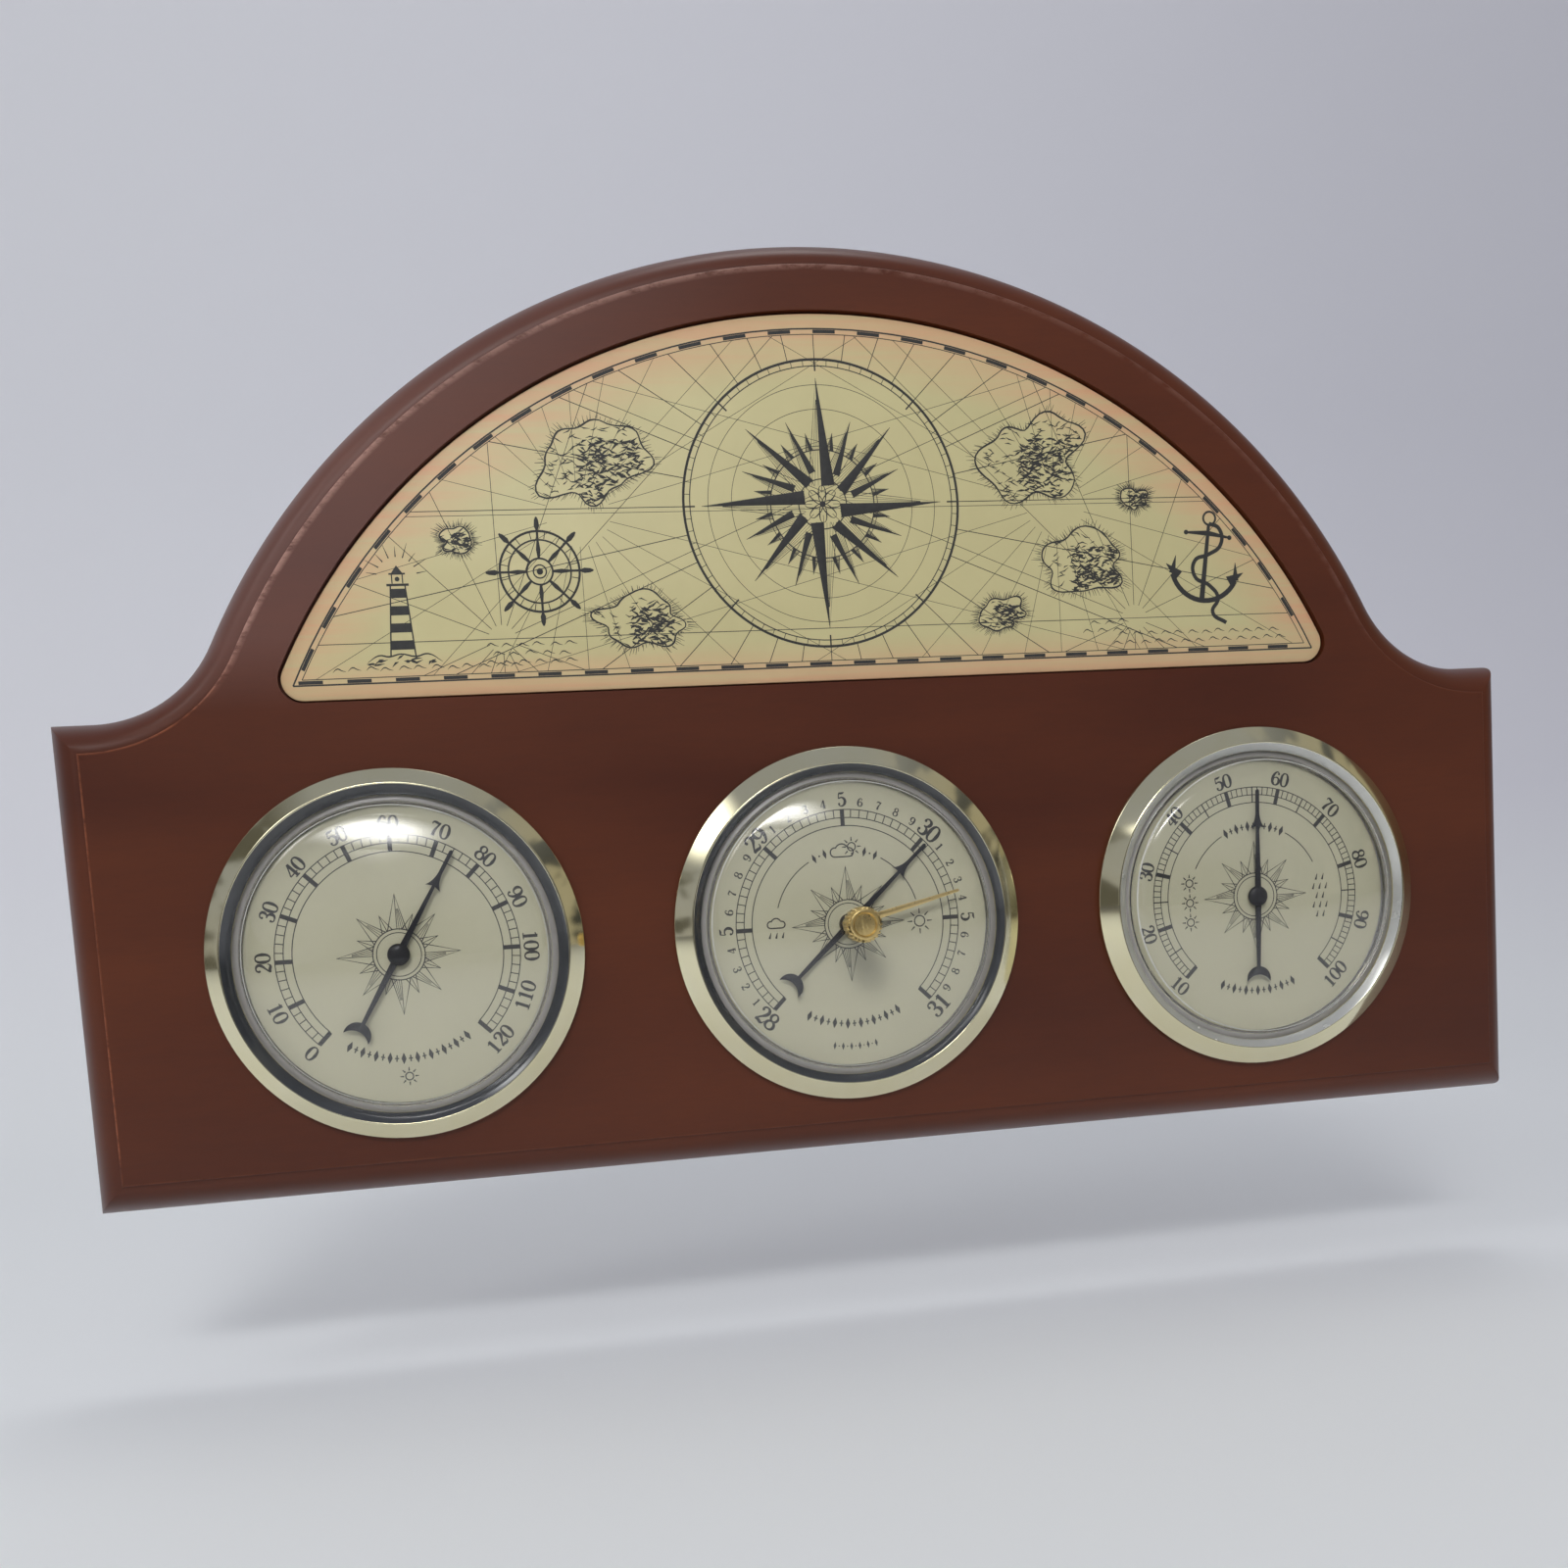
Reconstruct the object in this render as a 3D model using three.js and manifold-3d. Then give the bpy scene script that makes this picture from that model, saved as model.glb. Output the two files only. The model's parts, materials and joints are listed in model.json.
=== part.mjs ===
// Three-dial weather station: a moulded wooden wall plaque that carries a thermometer, an aneroid barometer
// and a hygrometer in through bores. Millimetres, +Z up, the face towards -Y. The origin lies on the wall
// behind the plaque, at the middle notch of its sawtooth hanger.
import * as THREE from 'three';
import { mergeVertices } from 'three/addons/utils/BufferGeometryUtils.js';
import Module from 'manifold-3d';

// Clearances
const seat = 0.2; // between two faces that rest on each other
const slip = 0.3; // round a piece that drops into another
const running = 0.2; // round a turning arbor
const past = 1; // how far a cutting tool runs past the faces that it goes through

// Instruments, shared by all three. The bore is what a drop-in weather dial of this size asks for.
const boreDiameter = 70;
const bezelOverlap = 4.7; // how far the bezel covers the wood round the bore
const bezelHeight = 4.0; // ridge above the wood
const bezelConeWidth = 3.9; // outer cone, from its foot to the ridge
const bezelSheet = 0.6;
const bezelRidgeWidth = 0.4; // rounded top of the ridge
const bezelRidgeDrop = 0.1;
const bezelEdgeRound = 0.2;
const bezelGrip = 0.5; // lens flange held under the bezel's inner edge
const caseWall = 0.6;
const caseClearance = 0.7; // case to bore
const caseLipInset = 1.5; // case lip inside the bezel's foot
const caseLedge = 1.1; // step in the case that the dial lies on
const caseBackRound = 1.2;
const gripRingWidth = 4;
const gripRingFront = 6;
const lensSheet = 1.0;
const lensSeat = 0.7; // lens flange lying on the case lip
const lensFlangeWidth = 1.9;
const lensDraft = 1.5; // lean of the lens wall
const lensWallHeight = 3.0;
const domeRise = 5.4;
const gasketWidth = 1.0;
const gasketThickness = 0.8;
const dialThickness = 0.5;
const dialHoleRadius = 1.8;

// Plaque
const dialGap = 19.8; // clear wood between two bezels
const sideMargin = 28.3; // from an outer bezel to the plaque's side
const shoulderMargin = 13.1; // from the bezels up to the square shoulders
const footMargin = 12.5; // from the bezels down to the foot
const shoulderWidth = 8.2; // flat part of a shoulder, outside its cove
const coveRadius = 28.3;
const archCentreHeight = 1.5; // above the line through the dials
const boardThickness = 19;
const mouldWidth = 7.3;
const mouldDepth = 13;
const quirkWidth = 0.4;
const quirkDepth = 0.5;
const backChamfer = 0.5;

// Inlay panel in the arch
const inlayMargin = 10; // from the moulding's inner edge
const inlayRise = 1.7; // of the panel's foot above the shoulders
const inlayCornerRadius = 4.5;
const inlayThickness = 1.2;
const inlayRecess = 1.0; // face of the panel below the face of the wood
const inlayGap = 0.5; // round the panel

// Back: hanger, nails and wall bumpers
const hangerDrop = 26; // notch below the top of the arch
const hangerLength = 44;
const hangerHeight = 9;
const hangerSheet = 0.8;
const hangerRaise = 1.4;
const hangerFootLength = 8;
const hangerRamp = 2;
const toothPitch = 2.75;
const toothDepth = 1.5;
const toothFlat = 0.35;
const teethEachSide = 3;
const nailShankRadius = 0.8;
const nailHeadRadius = 2.2;
const nailHeadTopRadius = 1.76;
const nailHeadThickness = 0.8;
const nailDepth = 9.6; // shank inside the wood
const nailPoint = 1.2;
const bumperRadius = 5.5;
const bumperThickness = 2.8;
const bumperSideInset = 17.2;
const bumperFootInset = 12;

// Hands and arbors
const arborRadius = 0.6;
const arborEnd = 1.6; // arbor's front end in front of the dial
const handSheet = 0.3;
const handTip = 25.1; // radius that the pointer reaches
const handHubRadius = 2.4;
const handHubHeight = 1.1;
const handHubFaceRadius = 1.7;
const bladeRootHalfWidth = 0.72;
const bladeEndHalfWidth = 0.36;
const barbRadius = 16;
const barbHalfWidth = 1.8;
const barbNotch = 0.45; // the blade runs this far in between the barbs
const barbWaistHalfWidth = 0.6; // the barbs' flanks bend in towards this waist
const barbWaistRise = 1.2;
const neckHalfWidth = 0.42;
const neckRise = 3.6; // the barbs' flanks meet the neck this far out
const moonRadius = 2.95;
const moonCentre = 19.55;
const moonThickness = 2;
const moonHollowRadius = 3.4;

// Thermometer and hygrometer movements
const bushRadius = 1.5;
const bushFlangeRadius = 2.6;
const bushFlangeThickness = 0.6;
const bushRise = 0.7; // in front of the dial
const colletRadius = 1.6;
const coilWidth = 2.8;
const coilSheet = 0.35;
const coilRadius = 8;
const coilStandOff = 2.3; // coil behind the bush
const bridgeRoom = 2; // coil to bridge
const bridgeLegRoom = 1.2; // coil to the bridge's legs
const bridgeSheet = 0.8;
const bridgeWidth = 6;
const bridgeFootLength = 4.5;
const postWidth = 3;
const postSheet = 0.6;
const postFootLength = 3.5;

// Barometer movement
const movementGap = 1.7; // dial to front plate
const plateSheet = 0.6;
const plateHalfWidth = 4;
const plateCorner = 3.5;
const plateEnd = 3; // plate beyond its pillars
const hairspringWidth = 0.5;
const hairspringSheet = 0.2;
const hairspringRadius = 6;
const hairspringColletRadius = 1.0;
const studRadius = 0.5;
const drumRadius = 0.5;
const drumFlangeRadius = 1.6;
const drumFlangeThickness = 0.3;
const drumWidth = 1.0;
const rearPivotRadius = 0.48;
const arborShake = 0.7; // drum to rear plate
const chainWidth = 0.4;
const armTravelRoom = 1.0; // rear plate to capsule arm
const armSheet = 0.6;
const armHalfWidth = 3;
const armLegGap = 2.4; // capsule to the arm's leg
const armFootWidth = 1.8;
const armEyeRadius = 1.2; // rolled round its shaft
const capsuleOffset = 2; // capsule centre to the right of the hand's arbor
const capsuleRadius = 15;
const capsuleThickness = 5.6; // over its two bosses
const capsuleBossRadius = 2.2;
const capsuleWaves = 3;
const capsuleWaveHeight = 0.3;
const capsuleSkinStart = 0.8; // beyond a boss
const capsuleSkinInset = 1; // of the corrugated skin below the bosses
const capsuleRimWidth = 1;
const capsuleRimThickness = 0.6;
const screwRadius = 2.5;
const screwHeadRise = 0.6;
const screwSlotWidth = 0.8;
const screwSlotDepth = 0.5;
const screwHoleRoom = 0.7; // round the screw in the case's back
const basePlateSheet = 0.8;
const basePlateEnd = 3; // beyond its pillars
const basePlateCorner = 7;
const pillarRadius = 1.6;
const pillarWaistRadius = 1.1;
const pillarTenonRadius = 0.7;
const pillarGap = 3; // capsule edge to pillar centre
const pivotGap = 7; // capsule edge to rocker pivot
const pivotRise = 2.2; // rocker pivot in front of the base plate
const shaftRadius = 0.8; // of the rocker and of the capsule arm
const lugSpacing = 13;
const lugSheet = 1.0;
const lugRadius = 2;
const shaftEnd = 0.7; // rocker's shaft beyond a lug
const crankLength = 1.3;
const crankPinRadius = 0.35;
const crankEyeRadius = 0.6;
const crankRootHalfWidth = 0.9;
const crankDrop = 0.2; // crank below the middle of its shaft
const rockerSheet = 0.8;
const rockerSheetGap = 1; // between the blade and the crank, along the shaft
const bladeRootRadius = 1.3;
const bladeTipHalfWidth = 0.4;

// Set hand of the barometer and its knob
const setHandTip = 26.1;
const setHandRootHalfWidth = 0.95;
const setHandTipHalfWidth = 0.33;
const setHandHubRadius = 2;
const setHandHubHeight = 1.2;
const setHandHubFaceRadius = 1.6;
const setHandHubRound = 0.3;
const setHandLift = 0.5; // in front of the pointer's hub
const setShaftRadius = 0.8;
const knobRadius = 3.9;
const knobHeight = 6.3;
const knobNeckRadius = 2.4;
const knobNeckHeight = 0.6;
const knobTeeth = 24;
const knobToothDepth = 0.3;
const knobRimWidth = 0.6;
const knobRecessRadius = 2.6;
const knobRecessDepth = 0.6;
const washerRadius = 3;
const washerThickness = 0.7;

// Holes that let air into the hygrometer's case
const ventCount = 6;
const ventRing = 20;
const ventRadius = 2;

// Readings shown, and the scales that they are read on, each over three quarters of a turn
const scaleSweep = 270;
const thermometerReading = 73.8;
const thermometerScale = [0, 120];
const barometerReading = 30.03;
const setHandReading = 30.35;
const barometerScale = [28, 31];
const hygrometerReading = 55.5;
const hygrometerScale = [10, 100];

// Facets on round work
const largeSteps = 28;
const middleSteps = 16;
const smallSteps = 8;
const coilTurns = 4;
const coilStepsPerTurn = 10;
const archSteps = 22;
const coveSteps = 5;
const cornerSteps = 2;
const mouldSteps = 5;

// Radii of an instrument, from the bore inwards
const boreRadius = boreDiameter / 2;
const bezelRadius = boreRadius + bezelOverlap;
const caseRadius = boreRadius - caseClearance;
const caseInnerRadius = caseRadius - caseWall;
const caseRearRadius = caseRadius - caseLedge;
const dialRadius = caseInnerRadius - slip;
const lensRadius = caseInnerRadius + lensSeat;
const lensFootRadius = lensRadius - lensFlangeWidth;
const lensShoulderRadius = lensFootRadius - lensDraft;

// Depths of an instrument behind the plaque's face; what stands in front of the face is negative
const caseLipFront = -seat - caseWall;
const lensFlangeBack = caseLipFront - seat;
const lensFlangeFront = lensFlangeBack - lensSheet;
const bezelLipBack = lensFlangeFront - seat;
const lensFront = lensFlangeFront - lensWallHeight - domeRise;
const gasketFront = lensFlangeBack + seat;
const dialFront = gasketFront + gasketThickness + seat;
const dialBack = dialFront + dialThickness;
const ledgeFront = dialBack + seat;
const bushFlangeBack = ledgeFront + bushFlangeThickness;
const arborFront = dialFront - arborEnd;
const hubFront = arborFront - handHubHeight / 2;

// Depths of the barometer movement, from the dial to the floor of the case
const frontPlateFront = dialBack + movementGap;
const frontPlateBack = frontPlateFront + plateSheet;
const hairspringFront = frontPlateBack + 2 * slip;
const hairspringBack = hairspringFront + hairspringWidth;
const drumFront = hairspringBack + 2 * slip;
const drumBack = drumFront + 2 * drumFlangeThickness + drumWidth;
const chainDepth = (drumFront + drumBack) / 2;
const rearPlateFront = drumBack + arborShake;
const rearPlateBack = rearPlateFront + plateSheet;
const armFront = rearPlateBack + armTravelRoom;
const armBack = armFront + armSheet;
const capsuleFront = armBack + seat;
const capsuleBack = capsuleFront + capsuleThickness;
const screwFront = capsuleBack + seat;
const basePlateFront = screwFront + screwHeadRise;
const basePlateBack = basePlateFront + basePlateSheet;
const caseFloor = basePlateBack + seat;
const caseBack = caseFloor + caseWall;
const pivotDepth = basePlateFront - pivotRise;
const pivotX = capsuleOffset - capsuleRadius - pivotGap;
const armPivotX = capsuleOffset + capsuleRadius + armLegGap + armSheet / 2;
const pillarHeight = capsuleRadius + pillarGap;
const basePlateHalfHeight = pillarHeight + basePlateEnd;

// Plaque, from the line through the dials
const dialSpacing = 2 * bezelRadius + dialGap;
const halfWidth = dialSpacing + bezelRadius + sideMargin;
const shoulderHeight = bezelRadius + shoulderMargin;
const footDrop = bezelRadius + footMargin;
const coveX = halfWidth - shoulderWidth;
const coveHeight = shoulderHeight + coveRadius;
const archRadius = Math.hypot(coveX, coveHeight - archCentreHeight) - coveRadius;
const inlayRadius = archRadius - mouldWidth - inlayMargin;
const hangerHeightAboveDials = archCentreHeight + archRadius - hangerDrop;
const wallDepth = boardThickness + seat + bumperThickness;

const woodFinish = new THREE.MeshStandardMaterial({ color: 0x5a3024, roughness: 0.42, metalness: 0 });
const inlayFinish = new THREE.MeshStandardMaterial({ color: 0xc9bf94, roughness: 0.5, metalness: 0 });
const goldFinish = new THREE.MeshStandardMaterial({ color: 0xd8c48a, roughness: 0.15, metalness: 1 });
const glassFinish = new THREE.MeshStandardMaterial({ color: 0xe8eeee, roughness: 0.05, metalness: 0 });
const rubberFinish = new THREE.MeshStandardMaterial({ color: 0x1b1b1c, roughness: 0.8, metalness: 0 });
const dialFinish = new THREE.MeshStandardMaterial({ color: 0xc4c0a2, roughness: 0.45, metalness: 0 });
const blackFinish = new THREE.MeshStandardMaterial({ color: 0x222226, roughness: 0.4, metalness: 0 });
const steelFinish = new THREE.MeshStandardMaterial({ color: 0x9da0a3, roughness: 0.35, metalness: 1 });
const brassFinish = new THREE.MeshStandardMaterial({ color: 0xb59a4e, roughness: 0.3, metalness: 1 });

const wasm = await Module();
wasm.setup();

// One vertex at each point, and no triangle without area
function welded(geometry) {
  const bare = geometry.clone();
  bare.deleteAttribute('normal');
  bare.deleteAttribute('uv');
  const merged = mergeVertices(bare, 1e-4);
  const corners = Array.from(merged.index.array);
  const kept = [];
  for (let i = 0; i < corners.length; i += 3) {
    const [a, b, c] = corners.slice(i, i + 3);
    if (a !== b && b !== c && c !== a) kept.push(a, b, c);
  }
  merged.setIndex(kept);
  return merged;
}

function solidOf(geometry) {
  const { index, attributes } = welded(geometry);
  const vertProperties = Float32Array.from(attributes.position.array);
  const triVerts = Uint32Array.from(index.array);
  return new wasm.Manifold(new wasm.Mesh({ numProp: 3, vertProperties, triVerts }));
}

function geometryOf(solid) {
  const { vertProperties, triVerts } = solid.getMesh();
  const geometry = new THREE.BufferGeometry();
  geometry.setAttribute('position', new THREE.BufferAttribute(vertProperties, 3));
  geometry.setIndex(new THREE.BufferAttribute(triVerts, 1));
  return geometry;
}

function joined(first, ...others) {
  return geometryOf(others.reduce((whole, other) => whole.add(solidOf(other)), solidOf(first)));
}

function cut(body, ...tools) {
  return geometryOf(tools.reduce((rest, tool) => rest.subtract(solidOf(tool)), solidOf(body)));
}

// Points on an arc in the plane of the dials
function arc(x, z, radius, from, to, steps) {
  const points = [];
  for (let i = 0; i <= steps; i += 1) {
    const angle = from + ((to - from) * i) / steps;
    points.push(new THREE.Vector2(x + radius * Math.cos(angle), z + radius * Math.sin(angle)));
  }
  return points;
}

function circle(x, z, radius, steps) {
  return arc(x, z, radius, 0, 2 * Math.PI, steps).slice(0, -1);
}

function roundedRectangle(halfX, halfZ, radius, steps) {
  const quarter = Math.PI / 2;
  return [[1, -1], [1, 1], [-1, 1], [-1, -1]].flatMap(([sx, sz], i) =>
    arc(sx * (halfX - radius), sz * (halfZ - radius), radius, (i - 1) * quarter, i * quarter, steps));
}

const pairs = (points) => points.map(({ x, y }) => [x, y]);

const mirrored = (half) => [...half, ...half.map(({ x, y }) => new THREE.Vector2(-x, y)).reverse()];

// Turned about the depth axis from [radius, depth] points, which start and end on the axis or make a ring
function turned(points, steps) {
  const outline = points.map(([radius, depth]) => new THREE.Vector2(radius, depth));
  if (THREE.ShapeUtils.isClockWise(outline)) outline.reverse();
  if (outline.every(({ x }) => x > 0)) outline.push(outline[0].clone());
  return new THREE.LatheGeometry(outline, steps);
}

// A flat sheet with an outline of (x, z) points
function plate(outline, front, thickness, holes = []) {
  const shape = new THREE.Shape(outline);
  shape.holes = holes.map((hole) => new THREE.Path(hole));
  const geometry = new THREE.ExtrudeGeometry(shape, { depth: thickness, bevelEnabled: false });
  geometry.rotateX(Math.PI / 2);
  geometry.translate(0, front + thickness, 0);
  return geometry;
}

// A bent strip or lug: an outline of [x, depth] points, from one height to another
function strip(points, low, high) {
  const shape = new THREE.Shape(points.map(([x, depth]) => new THREE.Vector2(x, depth)));
  const geometry = new THREE.ExtrudeGeometry(shape, { depth: high - low, bevelEnabled: false });
  geometry.translate(0, 0, low);
  return geometry;
}

// A straight rod or hole along the depth axis
function rod(radius, front, back, steps, x = 0, z = 0) {
  const geometry = new THREE.CylinderGeometry(radius, radius, back - front, steps);
  geometry.translate(x, (front + back) / 2, z);
  return geometry;
}

function piece(group, name, geometry, material) {
  const mesh = new THREE.Mesh(welded(geometry), material);
  mesh.geometry.computeVertexNormals();
  mesh.name = name;
  group.add(mesh);
  return mesh;
}

// The plaque's outline, drawn in by an inset: square shoulders, a cove on each side, and the arch
function plaqueOutline(inset) {
  const tangency = Math.atan2(coveHeight - archCentreHeight, coveX);
  const side = halfWidth - inset;
  const right = [
    new THREE.Vector2(side, inset - footDrop),
    new THREE.Vector2(side, shoulderHeight - inset),
    ...arc(coveX, coveHeight, coveRadius + inset, -Math.PI / 2, tangency - Math.PI, coveSteps),
  ];
  const arch = arc(0, archCentreHeight, archRadius - inset, tangency, Math.PI - tangency, archSteps);
  const left = right.map(({ x, y }) => new THREE.Vector2(-x, y)).reverse();
  return [...right, ...arch.slice(1, -1), ...left];
}

// Insets and depths down the edge: a small quirk, then an elliptical round-over, then the square side
function edgeProfile() {
  const roundWidth = mouldWidth - quirkWidth;
  const profile = [[mouldWidth, 0], [mouldWidth, quirkDepth]];
  for (let i = 0; i <= mouldSteps; i += 1) {
    const turn = (i / mouldSteps) * (Math.PI / 2);
    const depth = mouldDepth - (mouldDepth - quirkDepth) * Math.cos(turn);
    profile.push([roundWidth * (1 - Math.sin(turn)), depth]);
  }
  profile.push([0, boardThickness - backChamfer], [backChamfer, boardThickness]);
  return profile;
}

function mouldedBoard() {
  const rings = edgeProfile().map(([inset, depth]) => ({ depth, outline: plaqueOutline(inset) }));
  const count = rings[0].outline.length;
  const positions = rings.flatMap(({ depth, outline }) => outline.flatMap(({ x, y }) => [x, depth, y]));
  const index = [];
  for (let ring = 0; ring < rings.length - 1; ring += 1) {
    for (let i = 0; i < count; i += 1) {
      const near = ring * count + i;
      const nearNext = ring * count + ((i + 1) % count);
      index.push(near, near + count, nearNext, nearNext, near + count, nearNext + count);
    }
  }
  const last = (rings.length - 1) * count;
  const face = THREE.ShapeUtils.triangulateShape(rings[0].outline, []);
  const back = THREE.ShapeUtils.triangulateShape(rings[rings.length - 1].outline, []);
  face.forEach(([a, b, c]) => index.push(a, b, c));
  back.forEach(([a, b, c]) => index.push(last + a, last + c, last + b));
  const geometry = new THREE.BufferGeometry();
  geometry.setAttribute('position', new THREE.Float32BufferAttribute(positions, 3));
  geometry.setIndex(index);
  return geometry;
}

// The inlay's outline, grown for its pocket: straight foot, round corners, and an arc inside the arch
function inlayOutline(grow) {
  const foot = shoulderHeight + inlayRise;
  const cornerHeight = foot + inlayCornerRadius;
  const cornerX = Math.sqrt((inlayRadius - inlayCornerRadius) ** 2 - (cornerHeight - archCentreHeight) ** 2);
  const turn = Math.atan2(cornerHeight - archCentreHeight, cornerX);
  const corner = arc(cornerX, cornerHeight, inlayCornerRadius + grow, -Math.PI / 2, turn, cornerSteps);
  const arch = arc(0, archCentreHeight, inlayRadius + grow, turn, Math.PI - turn, archSteps);
  const left = corner.map(({ x, y }) => new THREE.Vector2(-x, y)).reverse();
  return [...corner, ...arch.slice(1, -1), ...left];
}

const nailX = hangerLength / 2 - hangerFootLength / 2;
const nailZ = hangerHeightAboveDials + hangerHeight / 2 - toothDepth;
const nailHoleRadius = nailShankRadius + slip;

function plaque(front) {
  const pocketDepth = inlayRecess + inlayThickness + seat;
  const holes = [plate(inlayOutline(inlayGap), -past, pocketDepth + past)];
  [-1, 0, 1].forEach((place) => {
    holes.push(rod(boreRadius, -past, boardThickness + past, largeSteps, place * dialSpacing));
  });
  [-1, 1].forEach((side) => {
    const floor = boardThickness - nailDepth - slip;
    holes.push(rod(nailHoleRadius, floor, boardThickness + past, smallSteps, side * nailX, nailZ));
  });
  piece(front, 'wood_plaque', cut(mouldedBoard(), ...holes), woodFinish);
  piece(front, 'inlay_panel', plate(inlayOutline(0), inlayRecess, inlayThickness), inlayFinish);
}

// Pressed strip with a raised middle, whose lower edge is cut into teeth; a nail's shank sits in a notch
function sawtoothHanger(front) {
  const foot = boardThickness + seat;
  const raised = foot + hangerRaise;
  const footEnd = hangerLength / 2;
  const rampFoot = footEnd - hangerFootLength;
  const rampTop = rampFoot - hangerRamp;
  const half = [
    [footEnd, foot],
    [rampFoot, foot],
    [rampTop, raised],
    [-rampTop, raised],
    [-rampFoot, foot],
    [-footEnd, foot],
  ];
  const rear = half.map(([x, depth]) => [x, depth + hangerSheet]).reverse();
  const low = hangerHeightAboveDials - toothDepth;
  const band = strip([...half, ...rear], low, low + hangerHeight);
  const through = [foot - past, foot + hangerSheet + past];
  const cuts = [-1, 1].map((side) => rod(nailHoleRadius, ...through, smallSteps, side * nailX, nailZ));
  const slope = (toothPitch - toothFlat) / 2 / toothDepth;
  for (let tooth = -teethEachSide; tooth <= teethEachSide; tooth += 1) {
    const x = tooth * toothPitch;
    const drop = toothDepth + past;
    const notch = [
      new THREE.Vector2(x - slope * drop, hangerHeightAboveDials - drop),
      new THREE.Vector2(x + slope * drop, hangerHeightAboveDials - drop),
      new THREE.Vector2(x, hangerHeightAboveDials),
    ];
    cuts.push(plate(notch, raised - past, hangerSheet + 2 * past));
  }
  piece(front, 'sawtooth_hanger', cut(band, ...cuts), steelFinish);
}

function backFittings(front) {
  sawtoothHanger(front);
  const headFront = boardThickness + seat + hangerSheet + seat;
  const pointEnd = boardThickness - nailDepth;
  const nail = [
    [0, pointEnd],
    [nailShankRadius, pointEnd + nailPoint],
    [nailShankRadius, headFront],
    [nailHeadRadius, headFront],
    [nailHeadTopRadius, headFront + nailHeadThickness],
    [0, headFront + nailHeadThickness],
  ];
  const bumperFront = boardThickness + seat;
  const bumper = [
    [0, bumperFront],
    [bumperRadius, bumperFront],
    [bumperRadius, bumperFront + bumperThickness / 2],
    [bumperRadius - bumperThickness / 4, bumperFront + bumperThickness],
    [0, bumperFront + bumperThickness],
  ];
  [['left', -1], ['right', 1]].forEach(([name, side]) => {
    const driven = piece(front, `hanger_nail_${name}`, turned(nail, smallSteps), steelFinish);
    driven.position.set(side * nailX, 0, nailZ);
    const pad = piece(front, `wall_bumper_${name}`, turned(bumper, middleSteps), rubberFinish);
    pad.position.set(side * (halfWidth - bumperSideInset), 0, bumperFootInset - footDrop);
  });
}

// Spun from sheet: an outer cone, a ridge, and an inner cone whose edge grips the lens flange
function bezelProfile() {
  const ridge = bezelRadius - bezelConeWidth;
  const lip = lensRadius - bezelGrip;
  const top = -bezelHeight;
  const foot = -seat - bezelSheet;
  const slantSheet = 1.5 * bezelSheet;
  return [
    [bezelRadius, -seat],
    [bezelRadius - bezelEdgeRound, foot],
    [ridge + bezelRidgeWidth, top + bezelRidgeDrop],
    [ridge, top],
    [ridge - bezelEdgeRound, top + bezelRidgeDrop],
    [lip, bezelLipBack - bezelSheet],
    [lip, bezelLipBack],
    [lensRadius, bezelLipBack],
    [ridge, top + slantSheet],
    [bezelRadius - slantSheet, foot],
    [bezelRadius - bezelSheet, -seat],
  ];
}

// Blown dome on a short leaning wall with a flat flange; the barometer's has a hole for the set hand's shaft
function lensProfile(holeRadius) {
  const outerRadius = (lensShoulderRadius ** 2 + domeRise ** 2) / (2 * domeRise);
  const centre = lensFront + outerRadius;
  const innerRadius = outerRadius - lensSheet;
  const onDome = (radius, reach, share) => {
    const r = holeRadius + (reach - holeRadius) * share;
    return [r, centre - Math.sqrt(radius ** 2 - r ** 2)];
  };
  const shares = [0, 0.55, 1];
  const innerReach = lensShoulderRadius - 0.8 * lensSheet;
  return [
    ...shares.map((share) => onDome(innerRadius, innerReach, share)),
    [lensFootRadius - lensSheet, lensFlangeBack],
    [lensRadius, lensFlangeBack],
    [lensRadius, lensFlangeFront],
    [lensFootRadius, lensFlangeFront],
    ...shares.reverse().map((share) => onDome(outerRadius, lensShoulderRadius, share)),
  ];
}

// Drawn cup with a flat lip, a ledge for the dial and a plain back
function caseProfile() {
  const rearInner = caseRearRadius - caseWall;
  const lipRadius = bezelRadius - caseLipInset;
  return [
    [0, caseFloor],
    [rearInner, caseFloor],
    [rearInner, ledgeFront],
    [caseInnerRadius, ledgeFront],
    [caseInnerRadius, caseLipFront],
    [lipRadius, caseLipFront],
    [lipRadius, -seat],
    [caseRadius, -seat],
    [caseRadius, ledgeFront + caseWall],
    [caseRearRadius, ledgeFront + caseWall],
    [caseRearRadius, caseBack - caseBackRound],
    [caseRearRadius - caseBackRound, caseBack],
    [0, caseBack],
  ];
}

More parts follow.
